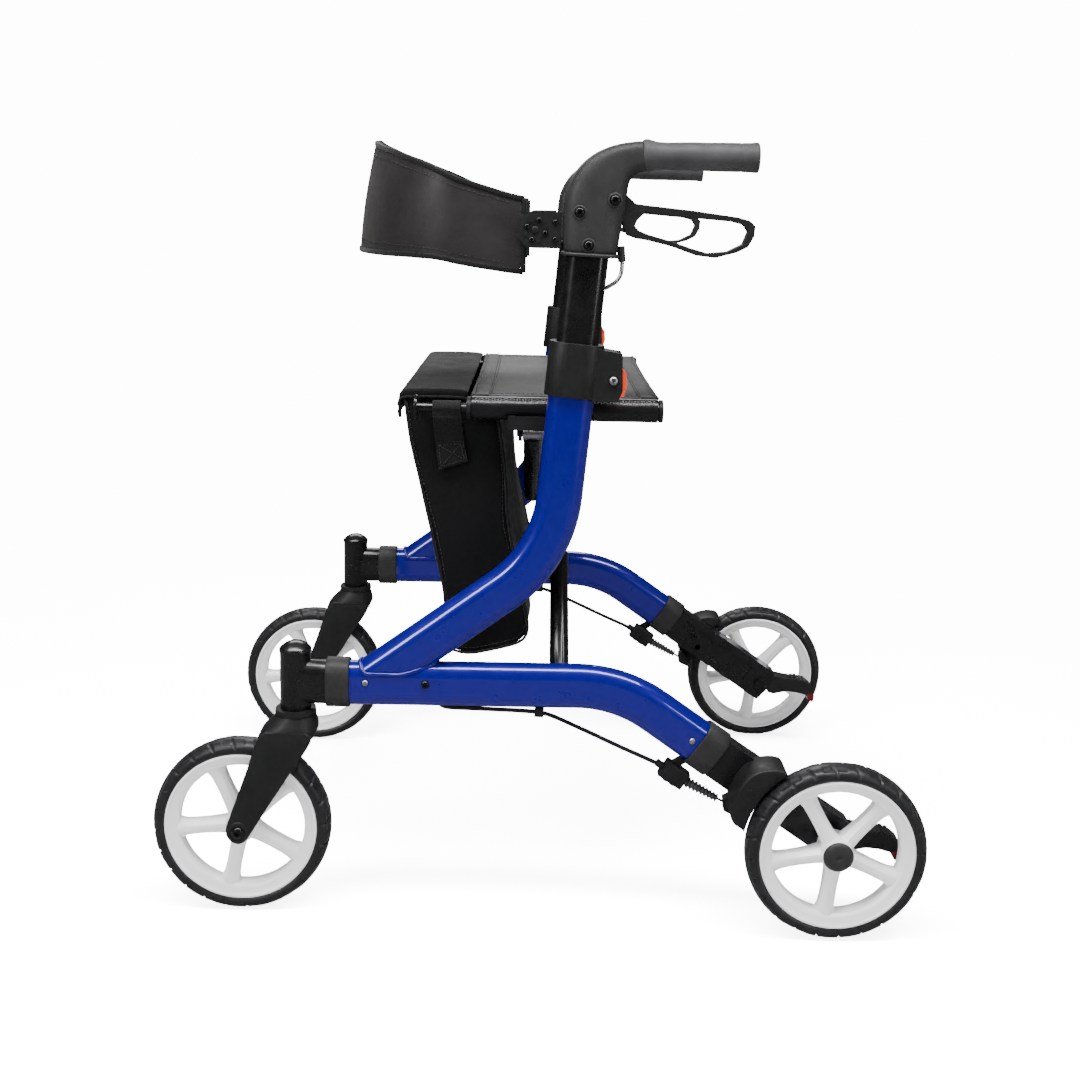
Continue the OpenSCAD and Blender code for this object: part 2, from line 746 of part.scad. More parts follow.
// One brace along its own length: the lower end lies towards -X, the crossing at the origin
module brace_body(hub_y, has_bolt) {
    tube_run = brace_half - hub_reach;
    plate_half = 10;
    block_half = 9;
    sink = 2.5;                           // how far a spacer block reaches into a tube
    low_block = [hub_y[1] - 1, brace_low_y - brace_r + sink];
    high_block = [brace_high_y + brace_r - sink, hub_y[0] + 1];
    block_run = hub_end - hub_reach;
    difference() {
        union() {
            translate([-brace_half, brace_low_y, 0]) rotate([0, 90, 0]) cylinder(r = brace_r, h = tube_run);
            translate([hub_reach, brace_high_y, 0]) rotate([0, 90, 0]) cylinder(r = brace_r, h = tube_run);
            // sleeves at the ends
            translate([-brace_half, 0, 0]) long_rod([0, 0], 9.6, low_sleeve[0], low_sleeve[1]);
            translate([brace_half, 0, 0]) long_rod([0, 0], 8, high_sleeve[0], high_sleeve[1]);
            // flat plate between the two tubes, with a block on each
            translate([-hub_end, hub_y[0], -plate_half])
                cube([2 * hub_end, hub_y[1] - hub_y[0], 2 * plate_half]);
            translate([-hub_end, low_block[0], -block_half])
                cube([block_run, low_block[1] - low_block[0], 2 * block_half]);
            translate([hub_reach, high_block[0], -block_half])
                cube([block_run, high_block[1] - high_block[0], 2 * block_half]);
            if (has_bolt) {
                long_rod([0, 0], pin_r, hub_y[0], 20);
                long_rod([0, 0], 8, 15, 20);
                long_rod([0, 0], 8, hub_y[0] - 4, hub_y[0]);
            }
        }
        for (end = [-brace_half, brace_half])
            translate([end, 0, 0]) long_rod([0, 0], pin_r + pin_gap, -60, 80);
        if (!has_bolt) long_rod([0, 0], pin_r + pin_gap, -60, 80);
    }
}

module brace(side) {
    hub_y = side > 0 ? [0, 6] : [7, 13];
    color("black") on_side(side) translate([0, 0, cross_z]) rotate([0, 180 + brace_lean, 0])
        brace_body(hub_y, side > 0);
}

module seat() {
    w = pivot_gap + rail_d - 2;
    z0 = rail_z + rail_d / 2 + 0.4;
    color("dimgray") translate([-w / 2, -78, z0]) cube([w, 204, seat_t]);
}

// ---------- bag and backrest ----------

module bag() {
    outline = [
        [-158, 575], [-150, 540], [-140, 487], [-131, 442], [-108, 348], [-109, 300], [-104, 286],
        [-79, 281], [-19, 295], [-10, 306], [-9, 320], [-12, 343], [-29, 432], [-36, 488], [-47, 555],
        [-49, 575],
    ];
    hollow = [
        [-154, 580], [-146, 540], [-136, 487], [-127, 442], [-104, 349], [-105, 301], [-101, 290],
        [-79, 285], [-21, 299], [-14, 308], [-13, 320], [-16, 342], [-33, 432], [-40, 488], [-51, 555],
        [-53, 580],
    ];
    color("black") difference() {
        plate(-bag_w / 2, bag_w / 2) polygon(outline);
        plate(-bag_w / 2 + bag_wall, bag_w / 2 - bag_wall) polygon(hollow);
    }
}

module bag_flap() {
    // top sheet, hinged at the back, with a lip that hangs over the bag's front
    outline = [
        [-82, 583], [-82, 590], [-120, 596], [-158, 594], [-166, 586], [-168, 560], [-162, 560],
        [-161, 580], [-155, 588], [-120, 590],
    ];
    color("black") plate(-bag_w / 2, bag_w / 2) polygon(outline);
}

module backrest_band() {
    half = frame_x - 7;       // outer face at the ends
    straight = 95;            // where the sides start to curve
    depth = 128;
    steps = 24;
    ends_y = -21;
    angles = [for (i = [0 : steps]) 180 * i / steps];
    outer = [for (a = angles) [half * cos(a), -straight - depth * sin(a)]];
    inner = [for (a = angles) [(half - band_t) * cos(a), -straight - (depth - band_t) * sin(a)]];
    ring = concat([[half, ends_y]], outer, [[-half, ends_y], [-half + band_t, ends_y]],
        [for (i = [0 : steps]) inner[steps - i]], [[half - band_t, ends_y]]);
    side_view = [[-21, 721], [-21, 799], [-33, 800], [-85, 816], [-128, 833], [-204, 866], [-240, 876],
        [-240, 737], [-113, 737], [-68, 729], [-30, 721]];
    color("black") {
        intersection() {
            translate([0, 0, 700]) linear_extrude(200) polygon(ring);
            plate(-half - 1, half + 1) polygon(side_view);
        }
        // stiff tabs that turn on the side plates
        for (s = [-1, 1]) translate([s * (frame_x - 5.7), 0, 0]) difference() {
            plate(-1.3, 1.3) {
                translate(plate_pivot) circle(r = 15);
                translate([-40, 753]) square([28, 30]);
            }
            cross_rod(plate_pivot, 4.1, -5, 5);
        }
        for (s = [-1, 1]) cross_rod(plate_pivot, 3.9, s * (frame_x - 1) - 5.5, s * (frame_x - 1) + 5.5);
    }
}

// ---------- the assembly ----------

lower_tube(right);  // right_lower_tube
upper_tube(right);  // right_upper_tube
tube_collars(right);  // right_tube_collars
caster_housing(right);  // right_caster_housing
rear_bracket(right);  // right_rear_bracket
tipper(right);  // right_tipper
clamp(right);  // right_clamp
frame_fasteners(right);  // right_frame_fasteners
brake_cable(right);  // right_brake_cable
rear_axle(right);  // right_rear_axle
clamp_lever(right);  // right_clamp_lever
brake_arm(right);  // right_brake_arm
post(right);  // right_post
head(right);  // right_head
grip(right);  // right_grip
head_fittings(right);  // right_head_fittings
brake_lever(right);  // right_brake_lever
backrest_plate(right);  // right_backrest_plate
fork(right);  // right_fork
front_axle(right);  // right_front_axle
front_rim(right);  // right_front_rim
front_tyre(right);  // right_front_tyre
front_bearings(right);  // right_front_bearings
rear_rim(right);  // right_rear_rim
rear_tyre(right);  // right_rear_tyre
rear_hub(right);  // right_rear_hub
seat_rail(right);  // right_seat_rail
brace(right);  // right_brace
lower_tube(left);  // left_lower_tube
upper_tube(left);  // left_upper_tube
tube_collars(left);  // left_tube_collars
caster_housing(left);  // left_caster_housing
rear_bracket(left);  // left_rear_bracket
tipper(left);  // left_tipper
clamp(left);  // left_clamp
frame_fasteners(left);  // left_frame_fasteners
brake_cable(left);  // left_brake_cable
rear_axle(left);  // left_rear_axle
clamp_lever(left);  // left_clamp_lever
brake_arm(left);  // left_brake_arm
post(left);  // left_post
head(left);  // left_head
grip(left);  // left_grip
head_fittings(left);  // left_head_fittings
brake_lever(left);  // left_brake_lever
backrest_plate(left);  // left_backrest_plate
fork(left);  // left_fork
front_axle(left);  // left_front_axle
front_rim(left);  // left_front_rim
front_tyre(left);  // left_front_tyre
front_bearings(left);  // left_front_bearings
rear_rim(left);  // left_rear_rim
rear_tyre(left);  // left_rear_tyre
rear_hub(left);  // left_rear_hub
seat_rail(left);  // left_seat_rail
brace(left);  // left_brace
seat();
bag();
bag_flap();
backrest_band();
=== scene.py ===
"""The rollator walker's looks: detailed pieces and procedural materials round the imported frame."""
import bpy
import math
from mathutils import Matrix, Vector, noise


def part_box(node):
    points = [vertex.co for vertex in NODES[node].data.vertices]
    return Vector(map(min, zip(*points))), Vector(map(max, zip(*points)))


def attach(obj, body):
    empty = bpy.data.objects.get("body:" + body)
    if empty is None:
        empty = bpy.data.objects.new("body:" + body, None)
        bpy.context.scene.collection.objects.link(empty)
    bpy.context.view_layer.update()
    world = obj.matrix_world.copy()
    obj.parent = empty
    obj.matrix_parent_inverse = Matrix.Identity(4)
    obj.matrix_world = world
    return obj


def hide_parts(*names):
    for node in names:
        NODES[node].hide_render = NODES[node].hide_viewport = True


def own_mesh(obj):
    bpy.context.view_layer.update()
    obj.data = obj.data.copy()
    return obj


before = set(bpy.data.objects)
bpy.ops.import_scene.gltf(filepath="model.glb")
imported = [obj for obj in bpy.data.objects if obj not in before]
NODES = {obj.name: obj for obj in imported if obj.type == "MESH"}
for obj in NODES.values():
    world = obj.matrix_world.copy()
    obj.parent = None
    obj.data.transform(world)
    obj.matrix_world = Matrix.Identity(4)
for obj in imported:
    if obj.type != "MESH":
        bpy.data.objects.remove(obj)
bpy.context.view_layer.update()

SIDES = (("right", 1), ("left", -1))
MM = 0.001


# ---------- places taken from the frame, in millimetres ----------

def span(node):
    """Lowest and highest corner of a CAD node in millimetres."""
    low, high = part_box(node)
    return low / MM, high / MM


def middle(node):
    low, high = span(node)
    return (low + high) / 2


TUBE_X = middle("right_post").x
FRONT_HUB = middle("right_front_bearings")
REAR_HUB = middle("right_rear_tyre")
TYRE_R = (span("right_rear_tyre")[1].z - span("right_rear_tyre")[0].z) / 2
RIM_R = (span("right_rear_rim")[1].z - span("right_rear_rim")[0].z) / 2
TYRE_W = span("right_rear_tyre")[1].x - span("right_rear_tyre")[0].x
RAIL_LIFT = 0.4
RAIL = Vector((middle("right_seat_rail").x, 0, 572.0))
SEAT_LOW, SEAT_HIGH = span("seat")
BAG_LOW, BAG_HIGH = span("bag")
FLAP_LOW, FLAP_HIGH = span("bag_flap")
GRIP_LOW, GRIP_HIGH = span("right_grip")
HEAD_HIGH = span("right_head")[1]
SWIVEL_Y = span("right_fork")[0].y + 75.0
TUBE_WIDE = 30.0
BAND_X = TUBE_X - 10.5


# ---------- materials ----------

class Mat:
    """A node material with short calls for the nodes that these surfaces share."""

    def __init__(self, name, rough=0.5, metal=0.0, specular=0.5, coat=0.0, coat_rough=0.1, sheen=0.0):
        self.mat = bpy.data.materials.new(name)
        self.mat.use_nodes = True
        self.tree = self.mat.node_tree
        self.shader = self.tree.nodes["Principled BSDF"]
        self.set("Roughness", rough)
        self.set("Metallic", metal)
        self.set("Specular IOR Level", specular)
        self.set("Coat Weight", coat)
        self.set("Coat Roughness", coat_rough)
        self.set("Sheen Weight", sheen)
        self.set("Sheen Roughness", 0.4)
        self.place = self.add("ShaderNodeTexCoord").outputs["Object"]
        self.height = None

    def set(self, socket, value):
        self.shader.inputs[socket].default_value = value

    def add(self, kind, **values):
        node = self.tree.nodes.new(kind)
        for key, value in values.items():
            setattr(node, key, value)
        return node

    def link(self, a, b):
        self.tree.links.new(a, b)

    def scaled(self, scale=(1, 1, 1), turn=(0, 0, 0)):
        node = self.add("ShaderNodeMapping")
        node.inputs["Scale"].default_value = scale
        node.inputs["Rotation"].default_value = turn
        self.link(self.place, node.inputs["Vector"])
        return node.outputs["Vector"]

    def noise(self, scale, detail=2.0, where=None):
        node = self.add("ShaderNodeTexNoise")
        node.inputs["Scale"].default_value = scale
        node.inputs["Detail"].default_value = detail
        self.link(where or self.place, node.inputs["Vector"])
        return node.outputs["Fac"]

    def cells(self, scale, feature="F1", where=None):
        node = self.add("ShaderNodeTexVoronoi", feature=feature)
        node.inputs["Scale"].default_value = scale
        self.link(where or self.place, node.inputs["Vector"])
        return node.outputs["Distance"]

    def stripes(self, axis, pitch, where=None, distort=0.0):
        """Bands across an axis, one each pitch metres."""
        node = self.add("ShaderNodeTexWave", wave_type="BANDS", bands_direction=axis, wave_profile="SIN")
        node.inputs["Scale"].default_value = 2 * math.pi / 20 / pitch
        node.inputs["Distortion"].default_value = distort
        self.link(where or self.place, node.inputs["Vector"])
        return node.outputs["Fac"]

    def math(self, kind, a, b):
        node = self.add("ShaderNodeMath", operation=kind)
        for socket, value in zip(node.inputs, (a, b)):
            if isinstance(value, (int, float)):
                socket.default_value = value
            else:
                self.link(value, socket)
        return node.outputs[0]

    def ramp(self, factor, stops, into="Base Color"):
        """Colour or value stops along a factor: [(place, colour)]."""
        node = self.add("ShaderNodeValToRGB")
        ramp = node.color_ramp
        while len(ramp.elements) < len(stops):
            ramp.elements.new(0.5)
        for element, (place, colour) in zip(ramp.elements, stops):
            element.position = place
            if isinstance(colour, (int, float)):
                colour = (colour,) * 3
            element.color = (*colour, 1)
        self.link(factor, node.inputs["Fac"])
        if into:
            self.link(node.outputs["Color"], self.shader.inputs[into])
        return node.outputs["Color"]

    def tint(self, factor, colour, low, high, stop=0.7):
        """A colour that goes from darker to lighter along a factor."""
        self.ramp(factor, [(0.3, shade(colour, low)), (stop, shade(colour, high))])

    def roughen(self, factor, low, high):
        self.ramp(factor, [(0.3, low), (0.7, min(1, high))], "Roughness")

    def diffuse(self, grey):
        node = self.add("ShaderNodeBsdfDiffuse")
        node.inputs["Color"].default_value = (grey, grey, grey, 1)
        return node.outputs[0]

    def emission(self, strength):
        node = self.add("ShaderNodeEmission")
        node.inputs["Strength"].default_value = strength
        return node.outputs[0]

    def bump(self, height, depth, strength=1.0):
        """Adds relief of that depth in metres; later reliefs lie on the earlier ones."""
        node = self.add("ShaderNodeBump")
        node.inputs["Strength"].default_value = strength
        node.inputs["Distance"].default_value = depth
        self.link(height, node.inputs["Height"])
        if self.height:
            self.link(self.height, node.inputs["Normal"])
        self.height = node.outputs["Normal"]
        self.link(self.height, self.shader.inputs["Normal"])


def shade(colour, amount):
    return tuple(min(1.0, c * amount) for c in colour)


def make_paint():
    """Pearl blue lacquer under a clear coat, with fine flakes and a faint orange peel."""
    m = Mat("frame_blue_lacquer", rough=0.4, metal=0.3, specular=0.3, coat=1.0, coat_rough=0.05)
    blue = (0.005, 0.0008, 0.2)
    flakes = m.cells(2600)
    m.ramp(flakes, [(0.0, shade(blue, 1.15)), (0.35, blue), (1.0, shade(blue, 0.88))])
    m.roughen(m.noise(60, 3), 0.27, 0.36)
    m.bump(m.noise(70, 2), 0.00006, 0.3)
    return m.mat


def make_plastic(name, colour, rough, grain=900, depth=0.00004, coat=0.0):
    """Moulded plastic with a fine spark-eroded grain and slightly uneven sheen."""
    m = Mat(name, rough=rough, specular=0.24, coat=coat, coat_rough=0.18)
    m.tint(m.noise(38, 4), colour, 0.86, 1.14)
    m.roughen(m.noise(120, 3), rough - 0.05, rough + 0.07)
    m.bump(m.noise(grain, 2), depth, 0.6)
    return m.mat


def make_coated_metal(name, colour, rough):
    """Powder-coated metal: smooth, with a faint ripple."""
    m = Mat(name, rough=rough, metal=0.2, specular=0.4, coat=0.35, coat_rough=0.18)
    m.tint(m.noise(55, 3), colour, 0.8, 1.2)
    m.roughen(m.noise(80, 2), rough - 0.06, rough + 0.07)
    m.bump(m.noise(40, 1), 0.00005, 0.2)
    return m.mat


def make_steel():
    m = Mat("zinc_steel", rough=0.28, metal=1.0)
    m.ramp(m.noise(90, 4), [(0.25, (0.46, 0.46, 0.48)), (0.75, (0.72, 0.72, 0.73))])
    m.roughen(m.noise(800, 2, m.scaled((1, 8, 1))), 0.2, 0.38)
    m.bump(m.noise(900, 2), 0.00002, 0.4)
    return m.mat


def make_rim():
    """Silver-white painted plastic with a fine sparkle."""
    m = Mat("rim_silver_white", rough=0.38, metal=0.1, specular=0.5, coat=0.25, coat_rough=0.25)
    m.ramp(m.cells(1800), [(0.0, (0.95, 0.95, 0.96)), (0.5, (0.88, 0.88, 0.89)),
                           (1.0, (0.78, 0.78, 0.80))])
    m.roughen(m.noise(150, 3), 0.36, 0.5)
    m.bump(m.noise(900, 2), 0.00003, 0.5)
    return m.mat


def make_rubber(name, colour, rough, grain=900):
    m = Mat(name, rough=rough, specular=0.35, sheen=0.08)
    m.tint(m.noise(26, 5), colour, 0.8, 1.25, 0.75)
    m.roughen(m.noise(70, 4), rough - 0.08, rough + 0.08)
    m.bump(m.noise(grain, 3), 0.00009, 0.7)
    return m.mat


def make_weave(name, colour, pitch, rough=0.75, sheen=0.35, axes=("X", "Y"), twill=False, depth=0.00012):
    """Woven cloth: warp and weft a pitch apart, with slightly uneven threads; its colour carries painted
    shade in the low gaps between threads and a painted highlight on their raised crossings.
    """
    m = Mat(name, rough=rough, specular=0.14, sheen=sheen)
    place = m.scaled(turn=(0, 0, math.radians(45))) if twill else m.place
    warp = m.stripes(axes[0], pitch, place, 0.3)
    weft = m.stripes(axes[1], pitch, place, 0.3)
    weave = m.math("MULTIPLY", warp, weft)
    cloud = m.noise(22, 5)
    # the colour follows the thread relief: painted shade where the weave is low, painted highlight where it
    # is high, mixed with random tone from the cloud
    both = m.math("ADD", m.math("MULTIPLY", weave, 0.55), m.math("MULTIPLY", cloud, 0.45))
    m.ramp(both, [(0.12, shade(colour, 0.6)), (0.45, colour), (0.8, shade(colour, 1.5))])
    m.roughen(cloud, rough - 0.1, rough + 0.08)
    m.bump(weave, depth, 0.8)
    m.bump(m.noise(16, 4), 0.0016, 0.35)
    return m.mat


def make_leatherette():
    """Coated cloth with a soft pebbled grain."""
    m = Mat("band_leatherette", rough=0.44, specular=0.24, sheen=0.05)
    m.tint(m.noise(14, 5), (0.0155, 0.014, 0.014), 0.8, 1.35)
    m.roughen(m.noise(40, 4), 0.4, 0.54)
    m.bump(m.cells(900, "DISTANCE_TO_EDGE"), 0.00016, 0.6)
    m.bump(m.noise(28, 3), 0.0006, 0.3)
    return m.mat


PAINT = make_paint()
BLACK_COAT = make_coated_metal("black_powder_coat", (0.006, 0.006, 0.0065), 0.3)
GLOSS_BLACK = make_plastic("gloss_black_plastic", (0.004, 0.004, 0.0045), 0.24, 90, 0.00004, 0.3)
MATTE_BLACK = make_plastic("matte_black_plastic", (0.009, 0.009, 0.0095), 0.46)
MATTE_GREY = make_plastic("matte_dark_grey_plastic", (0.020, 0.0195, 0.0195), 0.5)
RED = make_plastic("orange_red_plastic", (0.86, 0.055, 0.012), 0.33, 900, 0.00002, 0.4)
DARK_RED = make_plastic("dark_red_plastic", (0.09, 0.003, 0.008), 0.3, 600, 0.00004, 0.4)
VINYL = make_plastic("black_vinyl", (0.006, 0.006, 0.0065), 0.32, 220, 0.00008, 0.3)
BRIGHT_THREAD = make_rubber("pale_thread", (0.22, 0.22, 0.23), 0.55)
STEEL = make_steel()
RIM_PAINT = make_rim()
TYRE_RUBBER = make_rubber("tyre_rubber", (0.010, 0.010, 0.011), 0.42, 160)
GRIP_RUBBER = make_rubber("grip_rubber", (0.034, 0.034, 0.036), 0.6, 500)
SEAT_CLOTH = make_weave("seat_cloth", (0.028, 0.026, 0.0265), 0.0011, 0.5, 0.18, twill=True)
SEAT_EDGE = make_weave("seat_edge_cloth", (0.022, 0.021, 0.022), 0.0011, 0.55, 0.15, twill=True)
BAG_CLOTH = make_weave("bag_nylon", (0.0035, 0.0034, 0.0038), 0.0009, 0.78, 0.08, axes=("Y", "Z"))
BINDING = make_weave("binding_tape", (0.008, 0.008, 0.0085), 0.0016, 0.7, 0.1)
WEBBING = make_weave("black_webbing", (0.007, 0.007, 0.0075), 0.0021, 0.68, 0.12, axes=("Y", "Z"),
                     depth=0.0003)
THREAD = make_rubber("black_thread", (0.022, 0.022, 0.024), 0.6)
LEATHERETTE = make_leatherette()


# ---------- mesh helpers ----------

def mesh_object(name, verts, faces, material, side=1, sharp=None):
    """A mesh from points in millimetres; side -1 mirrors it to the left."""
    data = bpy.data.meshes.new(name)
    data.from_pydata([(v[0] * side * MM, v[1] * MM, v[2] * MM) for v in verts], [],
                     [tuple(reversed(f)) if side < 0 else tuple(f) for f in faces])
    data.validate()
    data.materials.append(material)
    data.shade_smooth()
    obj = bpy.data.objects.new(name, data)
    bpy.context.scene.collection.objects.link(obj)
    if sharp:
        crease_shading(obj, sharp)
    return obj


def crease_shading(obj, angle=35):
    """Smooth shading with hard edges above an angle in degrees."""
    data = obj.data
    data.shade_smooth()
    data.set_sharp_from_angle(angle=math.radians(angle))


def apply_modifiers(obj):
    """Bakes an object's modifiers into its mesh."""
    deps = bpy.context.evaluated_depsgraph_get()
    data = bpy.data.meshes.new_from_object(obj.evaluated_get(deps))
    old = obj.data
    obj.modifiers.clear()
    obj.data = data
    bpy.data.meshes.remove(old)
    return obj


def subdivide(obj, levels=1):
    mod = obj.modifiers.new("round", "SUBSURF")
    mod.levels = mod.render_levels = levels
    return apply_modifiers(obj)


def soften(node, width, material, segments=2, angle=34):
    """Rounds the hard edges of a CAD node that stays, and gives it a material."""
    obj = NODES[node]
    weld = obj.modifiers.new("weld", "WELD")
    weld.merge_threshold = 0.00002
    bevel = obj.modifiers.new("edge", "BEVEL")
    bevel.width = width * MM
    bevel.segments = segments
    bevel.limit_method = "ANGLE"
    bevel.angle_limit = math.radians(angle)
    bevel.harden_normals = True
    bevel.use_clamp_overlap = True
    paint_node(node, material)


def paint_node(node, material):
    data = NODES[node].data
    data.materials.clear()
    data.materials.append(material)


def loft(rings, closed=True, cap=True):
    """Quads between rings of the same number of points."""
    count = len(rings[0])
    verts = [p for ring in rings for p in ring]
    faces = []
    last = count if closed else count - 1
    for i in range(len(rings) - 1):
        for j in range(last):
            k = (j + 1) % count
            faces.append((i * count + j, i * count + k, (i + 1) * count + k, (i + 1) * count + j))
    if cap:
        faces.append(tuple(reversed(range(count))))
        faces.append(tuple(range((len(rings) - 1) * count, len(rings) * count)))
    return verts, faces


def spin_x(profile, hub, steps, wobble=None):
    """A closed [radius, x] profile turned about a hub's X axis."""
    rings = []
    for i in range(steps):
        a = 2 * math.pi * i / steps
        ring = []
        for j, (r, x) in enumerate(profile):
            if wobble:
                r, x = wobble(a, j, r, x)
            ring.append((hub.x + x, hub.y + r * math.cos(a), hub.z + r * math.sin(a)))
        rings.append(ring)
    verts, faces = loft(rings + [rings[0]], cap=False)
    count = len(profile)
    verts = verts[:steps * count]
    faces = [tuple(v % (steps * count) for v in f) for f in faces]
    return verts, faces


def smooth_path(points, per=8):
    """A Catmull-Rom curve through the points."""
    pts = [Vector(p) for p in points]
    pts = [2 * pts[0] - pts[1]] + pts + [2 * pts[-1] - pts[-2]]
    out = []
    for i in range(1, len(pts) - 2):
        a, b, c, d = pts[i - 1:i + 3]
        for j in range(per):
            t = j / per
            out.append(0.5 * (2 * b + (c - a) * t + (2 * a - 5 * b + 4 * c - d) * t * t
                              + (3 * b - a - 3 * c + d) * t ** 3))
    out.append(pts[-2])
    return out


def sweep(points, section, up=(1, 0, 0), cap=True, scale=None):
    """A section [(across, up)] carried along a path."""
    pts = [Vector(p) for p in points]
    rings = []
    for i, p in enumerate(pts):
        ahead = (pts[min(i + 1, len(pts) - 1)] - pts[max(i - 1, 0)]).normalized()
        side = Vector(up)
        side = (side - ahead * side.dot(ahead)).normalized()
        across = ahead.cross(side)
        size = scale(i / (len(pts) - 1)) if scale else 1
        rings.append([p + across * (u * size) + side * (v * size) for u, v in section])
    return loft(rings, cap=cap)


def turns(steps):
    """Cosine and sine at even steps round a circle."""
    angles = [2 * math.pi * i / steps for i in range(steps)]
    return [(math.cos(a), math.sin(a)) for a in angles]


def circle(radius, steps=12):
    return [(radius * c, radius * s) for c, s in turns(steps)]


def disc(centre, side, up, radius, steps):
    """Points of a circle in space round a centre."""
    return [centre + (side * c + up * s) * radius for c, s in turns(steps)]


def spread(value, power):
    """A signed power, which turns a circle into a squarer or a rounder outline."""
    return math.copysign(abs(value) ** power, value)


def mirrored(half):
    """A [radius, x] half profile followed by its mirror image."""
    return half + [(r, -x) for r, x in reversed(half)]


def rounded(width, height, radius, steps=4):
    """A rectangle with round corners, as points round its edge."""
    out = []
    for cx, cy, start in ((1, 1, 0), (-1, 1, 90), (-1, -1, 180), (1, -1, 270)):
        for i in range(steps + 1):
            a = math.radians(start + 90 * i / steps)
            out.append((cx * (width / 2 - radius) + radius * math.cos(a),
                        cy * (height / 2 - radius) + radius * math.sin(a)))
    return out


def join(parts):
    """Several (verts, faces) sets as one."""
    verts, faces = [], []
    for v, f in parts:
        base = len(verts)
        verts += list(v)
        faces += [tuple(i + base for i in face) for face in f]
    return verts, faces


def rod(a, b, radius, steps=16, dome=0.0):
    """A short round rod; dome rounds its far end."""
    a, b = Vector(a), Vector(b)
    d = (b - a).normalized()
    side = d.orthogonal().normalized()
    up = d.cross(side)
    stations = [(a, radius)]
    if dome:
        for i in range(5):
            t = i / 4 * math.pi / 2
            stations.append((b - d * dome * (1 - math.sin(t)), radius * (0.35 + 0.65 * math.cos(t))))
    else:
        bevel = min(0.4, radius * 0.15)
        stations += [(b - d * bevel, radius), (b, radius - bevel)]
    return loft([disc(p, side, up, r, steps) for p, r in stations])


def socket_screw(place, outward, radius, height):
    """A button-head screw with a hexagon socket."""
    place, d = Vector(place), Vector(outward).normalized()
    side = d.orthogonal().normalized()
    up = d.cross(side)

    def ring(r, h, sides=24):
        return [place + d * h + (side * math.cos(2 * math.pi * k / 24) + up * math.sin(2 * math.pi * k / 24))
                * r * (1 if sides == 24 else hexed(k)) for k in range(24)]

    def hexed(k):
        a = (2 * math.pi * k / 24) % (math.pi / 3) - math.pi / 6
        return math.cos(math.pi / 6) / math.cos(a)

    hexa = radius * 0.48
    rings = [ring(radius, 0), ring(radius, height * 0.35), ring(radius * 0.88, height * 0.78),
             ring(radius * 0.66, height), ring(hexa * 1.12, height, 6), ring(hexa, height * 0.96, 6),
             ring(hexa, height * 0.35, 6)]
    return loft(rings)


def stitches(path, length=2.6, gap=1.3, radius=0.28, normal=(0, 0, 1)):
    """A row of short threads along a path."""
    parts = []
    pts = [Vector(p) for p in path]
    run = [0.0]
    for a, b in zip(pts, pts[1:]):
        run.append(run[-1] + (b - a).length)

    def at(s):
        s = min(max(s, 0), run[-1])
        for i in range(len(run) - 1):
            if s <= run[i + 1]:
                t = (s - run[i]) / max(1e-9, run[i + 1] - run[i])
                return pts[i].lerp(pts[i + 1], t)
        return pts[-1]

    lift = Vector(normal) * radius * 0.9
    s = gap
    while s + length < run[-1]:
        a, b = at(s), at(s + length)
        mid = (a + b) / 2 + lift
        steep = abs(Vector(normal).dot((b - a).normalized())) >= 0.9
        thread = [a - lift * 0.6, a + lift * 0.5, mid, b + lift * 0.5, b - lift * 0.6]
        parts.append(sweep(thread, circle(radius, 5), up=(1, 0, 0) if steep else normal))
        s += length + gap
    return join(parts)


def declare(obj, body, replaces=()):
    """Lets a piece ride on a body, and hides the CAD parts that it replaces."""
    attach(obj, body)
    if replaces:
        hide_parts(*replaces)
    return obj


def piece(name, shape, material, body, side=1, sharp=None, replaces=()):
    return declare(mesh_object(name, *shape, material, side, sharp=sharp), body, replaces)


def thicken(obj, thickness):
    """Gives an open sheet a thickness in millimetres, below its face."""
    solid = obj.modifiers.new("thick", "SOLIDIFY")
    solid.thickness = thickness * MM
    solid.offset = -1
    return apply_modifiers(obj)


# ---------- camera, light and floor ----------

ROOM_LIGHT = 0.24
ROOM_GLOSS = 0.05
BACKDROP = 14.0
FLOOR_GAIN = 6.0
FLOOR_GLOW = 0.35
FLOOR_GLOSS = 0.12
FLOOR_REACH = 30
FADE_FROM, FADE_TO = 0.6, 1.7
WHITE = (1, 1, 1, 1)

CAMERA_PLACE = (1.6793, -0.0062, 0.793)
YAW, PITCH, ROLL = 0.0008, -0.1577, 0.0186
LENS = 44.94
SHIFT_Y = -0.111

LAMP_TARGET = Vector((0, 0, 0.4))
# name, place, size and power of each lamp
LAMPS = [("overhead", (0.75, 0.0, 2.2), (3.0, 0.45), 112),
         ("key", (2.2, -1.9, 1.6), (0.6, 0.9), 38),
         ("fill", (2.3, 2.1, 0.9), (0.4, 1.0), 18),
         ("rim", (-1.9, -0.4, 1.9), (1.8, 0.5), 30)]


def make_camera():
    """At the viewing angle of a picture of the walker's right-hand side."""
    base = Matrix(((0, 0, 1), (1, 0, 0), (0, 1, 0)))     # columns: right, up, back
    tilt = Matrix.Rotation(ROLL, 3, "Z") @ Matrix.Rotation(PITCH, 3, "X")
    turn = Matrix.Rotation(YAW, 3, "Z") @ base @ tilt
    data = bpy.data.cameras.new("camera")
    data.lens = LENS
    data.sensor_width = 36
    data.shift_y = SHIFT_Y
    data.clip_start = 0.05
    camera = bpy.data.objects.new("camera", data)
    camera.matrix_world = Matrix.Translation(CAMERA_PLACE) @ turn.to_4x4()
    bpy.context.scene.collection.objects.link(camera)
    bpy.context.scene.camera = camera


def area_light(name, place, size, power):
    data = bpy.data.lights.new(name, "AREA")
    data.shape = "RECTANGLE"
    data.size, data.size_y = size
    data.energy = power
    lamp = bpy.data.objects.new(name, data)
    lamp.location = place
    lamp.rotation_euler = (LAMP_TARGET - Vector(place)).to_track_quat("-Z", "Y").to_euler()
    bpy.context.scene.collection.objects.link(lamp)


